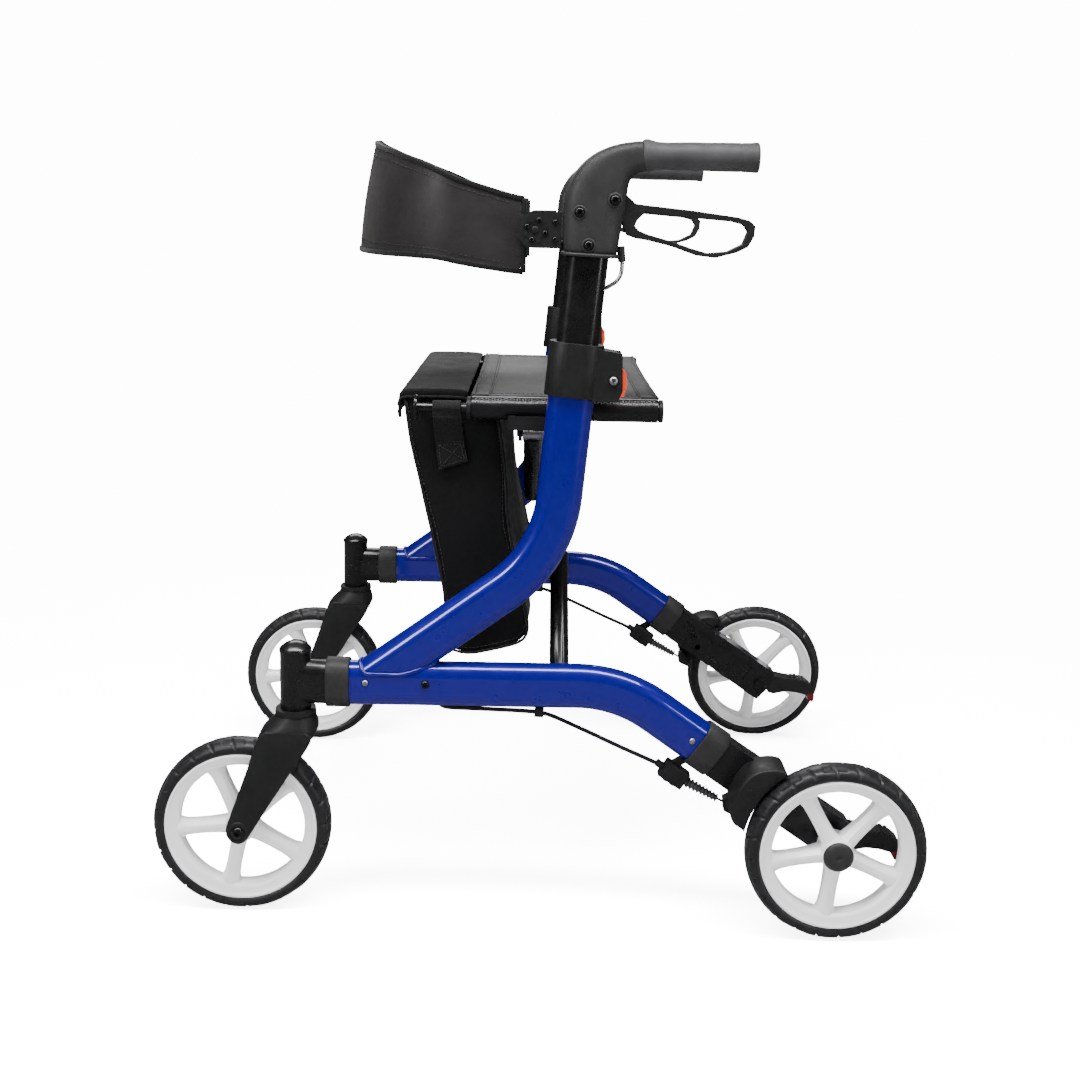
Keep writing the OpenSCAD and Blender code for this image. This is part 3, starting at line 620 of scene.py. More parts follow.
def mixed(tree, factor, first, second):
    """The first shader where the factor is 0, the second where it is 1."""
    mix = tree.nodes.new("ShaderNodeMixShader")
    for source, socket in ((factor, 0), (first, 1), (second, 2)):
        tree.links.new(source, mix.inputs[socket])
    return mix.outputs[0]


def by_ray(tree, plain, in_gloss, to_camera, output):
    """Shows one shader to the camera, one in reflections and a plain one to all other rays."""
    path = tree.nodes.new("ShaderNodeLightPath")
    lit = mixed(tree, path.outputs["Is Glossy Ray"], plain, in_gloss)
    seen = mixed(tree, path.outputs["Is Camera Ray"], lit, to_camera)
    tree.links.new(seen, tree.nodes[output].inputs["Surface"])


def make_world():
    """Even dim light, darker still in reflections, and a bright backdrop that only the camera sees."""
    world = bpy.data.worlds.new("studio")
    bpy.context.scene.world = world
    world.use_nodes = True
    tree = world.node_tree
    lights = []
    for strength in (ROOM_LIGHT, ROOM_GLOSS, BACKDROP):
        light = tree.nodes.new("ShaderNodeBackground")
        light.inputs["Color"].default_value = WHITE
        light.inputs["Strength"].default_value = strength
        lights.append(light.outputs[0])
    by_ray(tree, *lights, "World Output")


def make_floor():
    """A pale floor that looks white to the camera and keeps a faint shadow."""
    corners = [(x * FLOOR_REACH, y * FLOOR_REACH, 0) for x, y in ((-1, -1), (1, -1), (1, 1), (-1, 1))]
    data = bpy.data.meshes.new("floor")
    data.from_pydata(corners, [], [(0, 1, 2, 3)])
    floor = bpy.data.objects.new("floor", data)
    m = Mat("white_floor", rough=0.7, specular=0.15)
    m.ramp(m.noise(3, 2), [(0.3, 0.88), (0.7, 0.90)])
    glow = m.emission(BACKDROP * FLOOR_GLOW)
    both = m.add("ShaderNodeAddShader")
    m.link(m.diffuse(FLOOR_GAIN), both.inputs[0])
    m.link(glow, both.inputs[1])
    # away from the walker the floor fades into the backdrop, so no horizon shows
    distance = m.add("ShaderNodeVectorMath", operation="LENGTH")
    m.link(m.place, distance.inputs[0])
    fade = m.add("ShaderNodeMapRange", interpolation_type="SMOOTHSTEP")
    fade.inputs["From Min"].default_value = FADE_FROM
    fade.inputs["From Max"].default_value = FADE_TO
    m.link(distance.outputs["Value"], fade.inputs["Value"])
    seen = mixed(m.tree, fade.outputs["Result"], both.outputs[0], m.emission(BACKDROP))
    by_ray(m.tree, m.shader.outputs[0], m.diffuse(FLOOR_GLOSS), seen, "Material Output")
    data.materials.append(m.mat)
    bpy.context.scene.collection.objects.link(floor)


def make_studio():
    make_world()
    make_floor()
    for lamp in LAMPS:
        area_light(*lamp)


# ---------- wheels ----------

TYRE_HALF = TYRE_W / 2
# the tyre's section from the rim's edge over the tread: out from the rim, in from the side
TYRE_SHOULDER = [(-1.5, 4.5), (0.6, 2.2), (2.2, 0.9), (4.6, 0.2), (7.2, 0.1), (8.2, 0.6), (9.6, 1.2),
                 (11.4, 2.8), (12.8, 4.9), (13.9, 7.6), (14.5, 10.4), (14.85, 13)]


def tyre_profile():
    half = [(RIM_R + out, TYRE_HALF - inward) for out, inward in TYRE_SHOULDER]
    return half + [(TYRE_R, 0)] + [(r, -x) for r, x in reversed(half)]


TREAD_BLOCKS = 24
BLOCK_STEPS = 24


def tread(a, j, r, x):
    """Slanting slots across the shoulders, joined in pairs by a short groove, and a rib on each side wall."""
    from_edge = min(j, 24 - j)
    turn = a * TREAD_BLOCKS / (2 * math.pi) + (0.5 if x < 0 else 0)
    slant = 0.02 * abs(x)
    near = abs((turn + slant) % 1 - 0.5)
    if 4 <= from_edge <= 10 and near < 0.055:
        r -= 2.0
        x -= math.copysign(0.5, x)
    elif from_edge in (8, 9) and (turn + slant) % 2 < 1:
        r -= 1.5
    if from_edge in (4, 5) and near > 0.1:
        r += 0.3
    return r, x


def make_tyre(side_name, k, end, hub, body):
    shape = spin_x(tyre_profile(), hub, TREAD_BLOCKS * BLOCK_STEPS, tread)
    piece(f"{side_name}_{end}_tread_tyre", shape, TYRE_RUBBER, body, k,
          replaces=[f"{side_name}_{end}_tyre"])


RIM_SPOKES = 5


# the rim's ring from its outer edge inwards: in from the edge, out from the middle
RIM_SECTION = [(0, 14.2), (0.8, 15.0), (2.2, 15.2), (3.0, 14.6), (4.2, 13.4), (8.5, 12.4), (11.5, 11.4),
               (13.2, 10.2), (14.2, 8.6), (14.9, 5.5), (15.1, 2.6)]


def rim_ring(hub):
    """The rim's ring: an outward lip on each face with a stepped, dished inside."""
    r1 = RIM_R + 0.3
    return spin_x([(r1, 0)] + mirrored([(r1 - inward, x) for inward, x in RIM_SECTION]), hub, 120)


# each station along a spoke: distance from the hub, half width, half depth
SPOKE_STATIONS = [(12, 10.5, 13.5), (18, 9.6, 12.6), (26, 8.8, 10.9), (40, 8.4, 9.4), (54, 8.6, 9.0),
                  (63, 9.2, 9.3), (68, 10.8, 9.8), (72.5, 13.0, 10.0)]
SPOKE_QUARTER = [(0.93, 0.55), (0.62, 0.78), (0.42, 1), (0.2, 1.04)]


def spoke(hub, angle):
    """One spoke: wide and flat-backed with a raised ridge, flaring into hub and rim."""
    upper = [(-a, b) for a, b in SPOKE_QUARTER] + list(reversed(SPOKE_QUARTER))
    section = [(-1, 0)] + upper + [(1, 0)] + [(-a, -b) for a, b in upper]
    rings = []
    c, s = math.cos(angle), math.sin(angle)
    for r, w, t in SPOKE_STATIONS:
        ring = [(w * a, t * b) for a, b in section]
        rings.append([(hub.x + x, hub.y + r * c - u * s, hub.z + r * s + u * c) for u, x in ring])
    return loft(rings)


def hub_barrel(hub):
    half = [(6.5, 17.6), (10.4, 17.6), (11.2, 17.9), (15.6, 17.9), (16.8, 17.0), (17.6, 14.0), (18.6, 8.0)]
    return spin_x(mirrored(half), hub, 64)


def make_rim_piece(side_name, k, end, hub, turn, body):
    parts = [rim_ring(hub), hub_barrel(hub)]
    for i in range(RIM_SPOKES):
        parts.append(spoke(hub, math.radians(turn + 360 / RIM_SPOKES * i)))
    piece(f"{side_name}_{end}_spoked_rim", join(parts), RIM_PAINT, body, k, sharp=38,
          replaces=[f"{side_name}_{end}_rim"])


HUB_CAP = [(0.01, 22.4), (6, 22.4), (9.5, 22.2), (12.2, 21.6), (14.4, 20.6), (15.8, 19.2), (16.6, 17.6),
           (16.9, 16.6), (14.0, 16.2), (0.01, 16.2)]


def make_wheels():
    for name, k in SIDES:
        for end, hub, turn in (("front", FRONT_HUB, 42), ("rear", REAR_HUB, 47)):
            body = f"{name}_{end}_wheel"
            make_tyre(name, k, end, hub, body)
            make_rim_piece(name, k, end, hub, turn, body)
        paint_node(f"{name}_front_bearings", STEEL)
        piece(f"{name}_rear_hub_cap", spin_x(HUB_CAP, REAR_HUB, 64), MATTE_GREY, f"{name}_rear_wheel", k,
              replaces=[f"{name}_rear_hub"])


# ---------- handles ----------

# the elbow from foot to grip: the inside and outside edge as (y, z), and half its width
ELBOW = [((19, 741.5), (73, 739), 20.0), ((17.6, 748), (75, 745), 20.2), ((16.8, 765), (77, 760), 20.4),
         ((16.8, 780), (79, 775), 20.4), ((17.2, 795), (81.5, 789), 20.4), ((19.4, 809), (83, 800), 20.2),
         ((23.5, 820), (84, 808), 20.0), ((30, 831.5), (84.6, 813.5), 19.8),
         ((39, 841.5), (85.4, 817.6), 19.4), ((50, 849.5), (86.6, 821), 19.0),
         ((62, 855), (88.6, 824.4), 18.4),
         ((74, 858.6), (91.6, 827), 17.8), ((86, 860.6), (95, 828.8), 17.2), ((96, 861.6), (99, 829.8), 16.8),
         ((101, 862), (102.5, 830.2), 16.6)]
ELBOW_POWER = 0.66


def make_head(name, k):
    """The elbow that clasps the post and turns to carry the grip, with a raised rim at its foot."""
    body = f"{name}_handle"
    rings = []
    for (y0, z0), (y1, z1), half_x in ELBOW:
        cy, cz = (y0 + y1) / 2, (z0 + z1) / 2
        dy, dz = (y1 - y0) / 2, (z1 - z0) / 2
        outline = [(spread(c, ELBOW_POWER), spread(s, ELBOW_POWER)) for c, s in turns(36)]
        rings.append([(TUBE_X + w * half_x, cy + u * dy, cz + u * dz) for u, w in outline])
    obj = piece(f"{name}_handle_head", loft(rings), MATTE_GREY, body, k, sharp=50,
                replaces=[f"{name}_head"])
    subdivide(obj, 1)
    angles = [2 * math.pi * i / 48 for i in range(49)]
    outline = [(spread(math.sin(a), ELBOW_POWER), spread(math.cos(a), ELBOW_POWER)) for a in angles]
    foot = [(TUBE_X + w * 21.2, 46 + u * 29.4, 743 - u * 1.3) for w, u in outline]
    rim = sweep(foot, circle(2.0, 8), up=(0, 0, 1), cap=False)
    piece(f"{name}_head_foot_rim", rim, MATTE_GREY, body, k)


# the grip's radius along its length, from its front end and from its rear end
GRIP_FRONT = [(-3, 14.0), (-2.2, 16.2), (0, 17.2), (3, 17.3), (6, 16.6), (10, 15.4), (15, 14.5), (22, 14.2),
              (30, 14.3), (39, 14.7), (52, 15.0), (65, 14.8), (77, 15.0), (89, 15.1)]
GRIP_REAR = [(19.5, 15.1), (18.8, 14.75), (17.8, 14.75), (17.1, 15.15), (8, 15.3), (5, 15.7), (2, 15.9),
             (0.7, 15.5), (0, 14.4), (0.4, 12.2), (1.0, 11.6), (1.0, 5.0), (0.9, 0.6)]


def make_grip(name, k):
    """A soft grip: a thick lip in front, a slim neck, a smooth barrel and a ring at its end."""
    z = (GRIP_LOW.z + GRIP_HIGH.z) / 2
    profile = [(GRIP_LOW.y + d, r) for d, r in GRIP_FRONT] + [(GRIP_HIGH.y - d, r) for d, r in GRIP_REAR]
    rings = [[(TUBE_X + u, y, z + v) for u, v in circle(r, 48)] for y, r in profile]
    piece(f"{name}_soft_grip", loft(rings), GRIP_RUBBER, f"{name}_handle", k, sharp=55,
          replaces=[f"{name}_grip"])


def washer(place, outward, inner, outer, height):
    """A low round boss with soft edges."""
    place, d = Vector(place), Vector(outward).normalized()
    side = d.orthogonal().normalized()
    up = d.cross(side)
    profile = ((outer + 0.5, -0.3), (outer, height * 0.6), (outer - 0.6, height),
               (inner + 0.3, height), (inner, height * 0.5), (inner, -0.3))
    return loft([disc(place + d * h, side, up, r, 28) for r, h in profile], cap=False)


# screws through the handle head as (y, z, radius), those in the pivot plate, and the cable's loop
HEAD_SCREWS = ((34, 787, 5.0), (70.5, 800, 5.4), (44, 753, 5.0))
PLATE_SCREWS = ((-8, 778), (-20.5, 771), (-15.5, 757.5), (-1.5, 764.5), (9, 776), (9, 758))
CABLE_LOOP = ((80, 742), (80.4, 732), (79.4, 723), (75, 715.5), (68.5, 711), (62.5, 707.5))


def make_head_screws(name, k):
    body = f"{name}_handle"
    reach = HEAD_HIGH.x - TUBE_X
    screws, bosses = [], []
    for y, z, r in HEAD_SCREWS:
        place = (TUBE_X + reach + 0.2, y, z)
        screws.append(socket_screw(place, (1, 0, 0), r, 2.7))
        bosses.append(washer(place, (1, 0, 0), r + 0.3, r + 2.2, 0.9))
        # the nuts' side stays nearly flush, because the seat rail passes it as the walker folds
        screws.append(socket_screw((TUBE_X - reach, y, z), (-1, 0, 0), r, 0.5))
    piece(f"{name}_head_screws", join(screws), GLOSS_BLACK, body, k, sharp=40)
    piece(f"{name}_head_bosses", join(bosses), MATTE_GREY, body, k, sharp=40)
    path = smooth_path([(TUBE_X, y, z) for y, z in CABLE_LOOP], 6)
    piece(f"{name}_cable_loop", sweep(path, circle(2.3, 12)), STEEL, body, k,
          replaces=[f"{name}_head_fittings"])
    ferrule = rod((TUBE_X, 78.6, 752.5), (TUBE_X, 80.2, 736), 4.2, 20)
    piece(f"{name}_cable_ferrule", ferrule, MATTE_GREY, body, k, sharp=40)


def make_handles():
    for name, k in SIDES:
        make_head(name, k)
        make_grip(name, k)
        make_head_screws(name, k)
        soften(f"{name}_brake_lever", 1.6, MATTE_BLACK, 3)
        soften(f"{name}_backrest_plate", 0.8, MATTE_BLACK)
        paint_node(f"{name}_post", BLACK_COAT)
        dots = [socket_screw((TUBE_X + 8, y, z), (1, 0, 0), 3.1, 1.9) for y, z in PLATE_SCREWS]
        piece(f"{name}_plate_screws", join(dots), GLOSS_BLACK, f"{name}_handle", k, sharp=40)


# ---------- side frames ----------

# the diagonal tube's slope, a point on its middle line, half the flat of its oval section, the height of
# the centre of the lower tube's round top and its radius with the bead, and the ripples in the bead
DIAGONAL_SLOPE = math.radians(36)
DIAGONAL_POINT = Vector((0, 13.3, 414.7))
DIAGONAL_FLAT = 10
LOWER_ROUND_Z = 277.5
LOWER_ROUND_R = 15.6
WELD_RIPPLES = 58


def weld_bead(name, k):
    """A rippled bead where the diagonal tube meets the top of the lower tube."""
    along = Vector((0, math.cos(DIAGONAL_SLOPE), math.sin(DIAGONAL_SLOPE)))
    across = Vector((0, -math.sin(DIAGONAL_SLOPE), math.cos(DIAGONAL_SLOPE)))
    path = []
    steps = 150
    for i in range(steps + 1):
        a = 2 * math.pi * i / steps
        u = TUBE_WIDE / 2 * math.cos(a)
        v = TUBE_WIDE / 2 * math.sin(a) + math.copysign(DIAGONAL_FLAT, math.sin(a))
        base = DIAGONAL_POINT + across * v
        # run down the tube's wall until it meets the lower tube's round top
        top = LOWER_ROUND_Z + math.sqrt(max(0, LOWER_ROUND_R ** 2 - min(abs(u), 15.5) ** 2))
        p = base + along * ((top - base.z) / along.z)
        path.append((TUBE_X + u, p.y, p.z))
    path[-1] = path[0]
    ripple = lambda t: 1 + 0.16 * math.sin(t * 2 * math.pi * WELD_RIPPLES)
    shape = sweep(path, circle(2.3, 8), up=(0, 0, 1), cap=False, scale=ripple)
    piece(f"{name}_weld_bead", shape, PAINT, f"{name}_frame", k)


RIVETS = ((-190, 271.5), (172, 211))
BRAKE_PIVOT = (237, 153)
CLAMP_PIN = (74, 611)


def frame_screws(name, k):
    body = f"{name}_frame"
    face = TUBE_X + TUBE_WIDE / 2
    rivets = [rod((face - 0.2, y, z), (face + 1.7, y, z), 3.4, 20, dome=1.5) for y, z in RIVETS]
    piece(f"{name}_rivets", join(rivets), STEEL, body, k, sharp=40,
          replaces=[f"{name}_frame_fasteners"])
    black = [socket_screw((face, -124, 271), (1, 0, 0), 4.6, 3.0),
             socket_screw((TUBE_X - 14, 230, 173), (-1, 0, 0), 4.2, 2.5),
             socket_screw((TUBE_X + 22.2, *BRAKE_PIVOT), (1, 0, 0), 6.0, 3.0),
             rod((TUBE_X + 10, *BRAKE_PIVOT), (TUBE_X + 22.4, *BRAKE_PIVOT), 4.0)]
    piece(f"{name}_black_bolts", join(black), GLOSS_BLACK, body, k, sharp=40)
    pins = [socket_screw((TUBE_X + 15, *CLAMP_PIN), (1, 0, 0), 4.8, 3.0),
            rod((TUBE_X - 17, *CLAMP_PIN), (TUBE_X + 15, *CLAMP_PIN), 3.0),
            rod((212, 6, 268), (212, 42, 268), 4.0, 20)]
    piece(f"{name}_bright_pins", join(pins), STEEL, body, k, sharp=40)


CABLE_ROUTE = [(-110, 245), (-104, 241), (-92, 239.6), (-50, 238.4), (-10, 236.8), (12, 233.5), (45, 219.5),
               (90, 198.6), (125, 183), (144, 174)]
BELLOWS_FOLDS = 9
# the adjuster block's two ends and the wire's end, as (y, z)
ADJUSTER = ((142, 175), (166.5, 158.5))
WIRE_END = (203, 138.7)


def brake_run(name, k):
    """The outer cable under the tube, its clip, the adjuster block and the bellows over the inner wire."""
    x = TUBE_X
    body = f"{name}_frame"
    cable = sweep(smooth_path([(x, y, z) for y, z in CABLE_ROUTE], 8), circle(2.5, 12))
    clip = sweep([(x, -3, 237), (x, 7, 236.3)], rounded(11, 11, 2.5))
    piece(f"{name}_outer_cable", join([cable, clip]), MATTE_BLACK, body, k, sharp=45,
          replaces=[f"{name}_brake_cable"])
    a, b = (Vector((x, y, z)) for y, z in ADJUSTER)
    d = (b - a).normalized()
    rib = rounded(22.5, 17.5, 2.4)
    parts = [sweep([a, b], rounded(21, 16, 2.2)),
             sweep([a + d * 7, a + d * 11], rib),
             sweep([a + d * 16, a + d * 20], rib),
             sweep([(x, 154, 178), (x, 164, 184)], rounded(10, 6, 1.5)),
             sweep([a - d * 9, a], circle(4.4, 16))]
    piece(f"{name}_cable_adjuster", join(parts), MATTE_BLACK, body, k, sharp=40)
    end = Vector((x, *WIRE_END))
    run = end - b
    n = run.normalized()
    up = Vector((1, 0, 0))
    across = n.cross(up)
    steps = BELLOWS_FOLDS * 6
    rings = []
    for i in range(steps + 1):
        t = i / steps
        r = (6.8 - 2.2 * t) * (0.8 + 0.2 * math.cos(2 * math.pi * BELLOWS_FOLDS * t))
        rings.append(disc(b + run * t, across, up, r, 20))
    parts = [loft(rings), rod(end, end + n * 8, 1.4)]
    piece(f"{name}_cable_bellows", join(parts), GRIP_RUBBER, body, k)


# the back of the brake shoe as (y, z), from the tyre's top end round to its foot
SHOE_BACK = [(270, 192), (262, 193.6), (251, 193), (240, 190), (230, 183.5), (222, 173), (216.5, 160),
             (213, 147), (213.5, 136), (218, 128.5), (223.5, 125)]
SHOE_MIDDLE = Vector((248, 168))
SHOE_PLUG = (234.5, 165)
SHOE_ANCHOR = [(210, 140), (211, 127), (224, 121), (226, 128), (216, 143)]
SHOE_GAP = 3.6


def make_brake_shoe(name, k):
    """A crescent that follows the tyre, with a rounded back, a plugged hole and the cable's anchor."""
    low, high = span(f"{name}_brake_arm")
    x0, x1 = TUBE_X + 7.4, max(abs(low.x), abs(high.x))
    hub = Vector((REAR_HUB.y, REAR_HUB.z))
    shoe_r = TYRE_R + SHOE_GAP
    angles = [math.radians(a) for a in range(168, 122, -3)]
    inner = [hub + shoe_r * Vector((math.cos(a), math.sin(a))) for a in angles]
    back = smooth_path([(y, z, 0) for y, z in SHOE_BACK], 4)
    outline = inner + [Vector(p[:2]) for p in back]
    rings = []
    edges = ((x0, 1.6), (x0 + 0.6, 0.5), (x0 + 2, 0), (x1 - 3.2, 0), (x1 - 1.2, 0.7), (x1 - 0.3, 2.0),
             (x1, 3.8))
    for x, pull in edges:
        ring = []
        for p in outline:
            q = p + (SHOE_MIDDLE - p).normalized() * pull * 0.9
            if (p - hub).length < shoe_r + 0.5:
                q = hub + (p - hub).normalized() * (shoe_r + 0.25 * pull)
            ring.append((x, q.x, q.y))
        rings.append(ring)
    plates = [[(x, y, z) for y, z in SHOE_ANCHOR] for x in (TUBE_X - 5.6, x0 + 2)]
    plug = rod((x1 - 2, *SHOE_PLUG), (x1 + 0.12, *SHOE_PLUG), 5.2, 28)
    arm = f"{name}_brake_arm"
    piece(f"{name}_brake_shoe", join([loft(rings), loft(plates)]), MATTE_BLACK, arm, k, sharp=40,
          replaces=[arm])
    piece(f"{name}_brake_shoe_plug", plug, BLACK_COAT, arm, k, sharp=40)


# one arm of the fork from top to foot: height, front edge and back edge
FORK_EDGES = [(216, -299, -254), (212, -304.5, -248.5), (205, -309, -249), (195, -312.3, -254.5),
              (185, -315.4, -261), (172, -319.8, -270), (155, -325.9, -280.6), (140, -331.2, -290),
              (125, -336.5, -299.3), (115, -340, -305.5), (106, -343.2, -311), (100, -344, -314.6),
              (95, -343.3, -317.6), (91, -341, -320), (88, -337.5, -323), (86.2, -332, -328)]
FORK_ARM_X = 24.5
FORK_ARM_THICK = 7.0
# the fork's crown from its collar down: height, half width, shift, half depth, power of its outline
CROWN = [(236.9, 20.5, 0, 21.5, 1), (236.6, 21.8, 0, 22.2, 1), (231.5, 22.2, 0, 22.6, 1),
         (230.6, 21.0, 0, 21.6, 1), (227, 22.4, -0.8, 23.6, 0.92), (222, 24.6, -2.5, 26.4, 0.8),
         (217, 26.6, -4.8, 29.2, 0.68), (212, 27.7, -7.0, 31.0, 0.58), (206, 28.0, -9.8, 31.0, 0.5),
         (203, 27.0, -11, 30.0, 0.5)]


def squircle(cx, cy, z, half_x, half_y, power, steps=40):
    return [(cx + spread(c, power) * half_x, cy + spread(s, power) * half_y, z) for c, s in turns(steps)]


def make_fork(name, k):
    """A crown that swells from a round collar into two flat arms, and the axle's bolts and spacers."""
    body = f"{name}_caster"
    x, hub_y, hub_z = FRONT_HUB

    def on_axle(dx):
        return (x + dx, hub_y, hub_z)

    parts = [loft([squircle(x, SWIVEL_Y + dy, z, hx, hy, power) for z, hx, dy, hy, power in CROWN])]
    for s in (1, -1):
        rings = []
        for z, y0, y1 in FORK_EDGES:
            cy, half = (y0 + y1) / 2, (y1 - y0) / 2
            section = rounded(FORK_ARM_THICK, 2 * half, min(2.4, half * 0.8), 4)
            rings.append([(x + s * FORK_ARM_X + u, cy + v, z) for u, v in section])
        parts.append(loft(list(reversed(rings))))
        parts.append(washer(on_axle(s * 27.6), (s, 0, 0), 7.0, 11.6, 1.2))
    parts.append(rod((x, SWIVEL_Y, 230), (x, SWIVEL_Y, 290), 6, 24))
    piece(f"{name}_fork_body", join(parts), MATTE_BLACK, body, k, sharp=42,
          replaces=[f"{name}_fork"])
    bolts = [socket_screw(on_axle(s * 28.0), (s, 0, 0), 6.8, 4.0) for s in (1, -1)]
    piece(f"{name}_axle_bolts", join(bolts), GLOSS_BLACK, body, k, sharp=40,
          replaces=[f"{name}_front_axle"])
    shaft = [rod(on_axle(-27), on_axle(27), 3.9)]
    shaft += [rod(on_axle(s * 18.2), on_axle(s * 20.8), 6.5) for s in (1, -1)]
    piece(f"{name}_axle_shaft", join(shaft), STEEL, body, k, sharp=40)


# CAD pieces that stay, one on each side: rounding, material and its steps
SOFTENED = {
    "tube_collars": (1.2, MATTE_GREY, 2), "caster_housing": (1.0, BLACK_COAT, 2),
    "rear_bracket": (2.5, BLACK_COAT, 3), "tipper": (1.6, MATTE_BLACK, 3), "clamp": (1.6, MATTE_BLACK, 3),
    "clamp_lever": (1.6, RED, 3), "rear_axle": (0.6, GLOSS_BLACK, 2), "brace": (0.6, BLACK_COAT, 2),
    "seat_rail": (0.8, BLACK_COAT, 2),
}
REFLECTOR = ((401, 84), (403.5, 75), (409, 72.5), (412, 75), (411, 86))
# the brace's bright sleeve, where it turns on the seat rail
SLEEVE = ((212, -21.8, 545), (212, 35.8, 545))
SLEEVE_R = 8.15


def make_reflector(name, k):
    """A red cap on the tipping pedal's toe, a little wider than the toe."""
    low, high = span(f"{name}_tipper")
    half = (high.x - low.x) / 2 + 0.35
    verts = [(middle("right_tipper").x + dx, y, z) for dx in (-half, half) for y, z in REFLECTOR]
    faces = [(0, 1, 2, 3, 4), (9, 8, 7, 6, 5)] + [(i, (i + 1) % 5, (i + 1) % 5 + 5, i + 5) for i in range(5)]
    piece(f"{name}_rear_reflector", (verts, faces), DARK_RED, f"{name}_frame", k, sharp=30)


def make_frames():
    for name, k in SIDES:
        paint_node(f"{name}_lower_tube", PAINT)
        paint_node(f"{name}_upper_tube", PAINT)
        for node, (width, material, segments) in SOFTENED.items():
            soften(f"{name}_{node}", width, material, segments)
        make_brake_shoe(name, k)
        make_fork(name, k)
        weld_bead(name, k)
        frame_screws(name, k)
        brake_run(name, k)
        make_reflector(name, k)
        sleeve = sweep(SLEEVE, circle(SLEEVE_R, 32))
        brace = "left_brace" if name == "right" else "right_brace"
        piece(f"{name}_bright_sleeve", sleeve, STEEL, brace, k, sharp=40)


# ---------- soft goods ----------

def wrinkle(p, scale, depth, seed=0.0):
    q = Vector((p[0] / scale + seed, p[1] / scale - seed, p[2] / scale + 2 * seed))
    return depth * noise.fractal(q, 1.0, 2.0, 3)


def squeeze(kind, *pieces):
    """Gives each fabric piece its own copy of its mesh."""
    for p in pieces:
        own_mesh(p)


WRAP_R = 13.2
# the rail rests in the clamp's two hooks, so the hem is thin on its underside here: (y from, y to)
HOOKS = ((-38, -30), (44, 52))
HOOK_TOP = 566.5
HOOK_R = 11.25
HEM_INNER_R = 11.4
HOOK_INNER_R = 11.05
ZIGZAGS = 58


def seat_height(x, v):
    """Height of the seat's upper face: v runs from its front edge (0) to its back edge (1)."""
    t = min(1, abs(x) / RAIL.x)
    sag = 1.8 * (1 - 0.25 * math.cos(2 * math.pi * (v - 0.5)))
    ripple = wrinkle((x, 90 * v, 0), 70, 0.8, 1.3) * (1 - t)
    return RAIL.z + RAIL_LIFT + WRAP_R - sag * (1 - t ** 2.4) + ripple


def raised(points, height):
    return [Vector(p) + Vector((0, 0, height)) for p in points]


def make_seat():
    """Fabric stretched between the two rails, with a bound border."""
    y0, y1 = SEAT_LOW.y, SEAT_HIGH.y
    half = RAIL.x - 3
    cols, rows = 44, 40
    rings = []
    for j in range(rows + 1):
        v = j / rows
        row = []
        for i in range(cols + 1):
            x = half * (2 * i / cols - 1)
            bow = 0.6 * (1 - (x / half) ** 2) * (1 - 2 * v)
            row.append((x, y0 + (y1 - y0) * v + bow, seat_height(x, v)))
        rings.append(row)
    verts, faces = loft(rings, closed=False, cap=False)
    obj = thicken(mesh_object("seat_panel", verts, faces, SEAT_CLOTH), 1.8)
    obj.data.shade_smooth()
    declare(obj, "right_rail", ["seat"])
    parts = [sweep(edge, rounded(3.4, 3.8, 1.6), up=(0, 1, 0)) for edge in (rings[0], rings[-1])]
    parts += [sweep(raised(rings[j], 0.35), rounded(0.9, 15, 0.4, 2), up=(0, 1, 0)) for j in (2, rows - 2)]
    border = piece("seat_border", join(parts), SEAT_EDGE, "right_rail")
    lines = [raised(rings[j], 0.9) for j in (4, rows - 4)]
    lines += [raised([r[i] for r in rings[1:-1]], 0.1) for i in (2, cols - 2)]
    threads = [stitches(line, 3.2, 1.6, 0.35) for line in lines]
    sewn = piece("seat_stitches", join(threads), THREAD, "right_rail")
    squeeze("seat", obj, border, sewn)
    for name, k in SIDES:
        make_rail_sleeve(name, k)


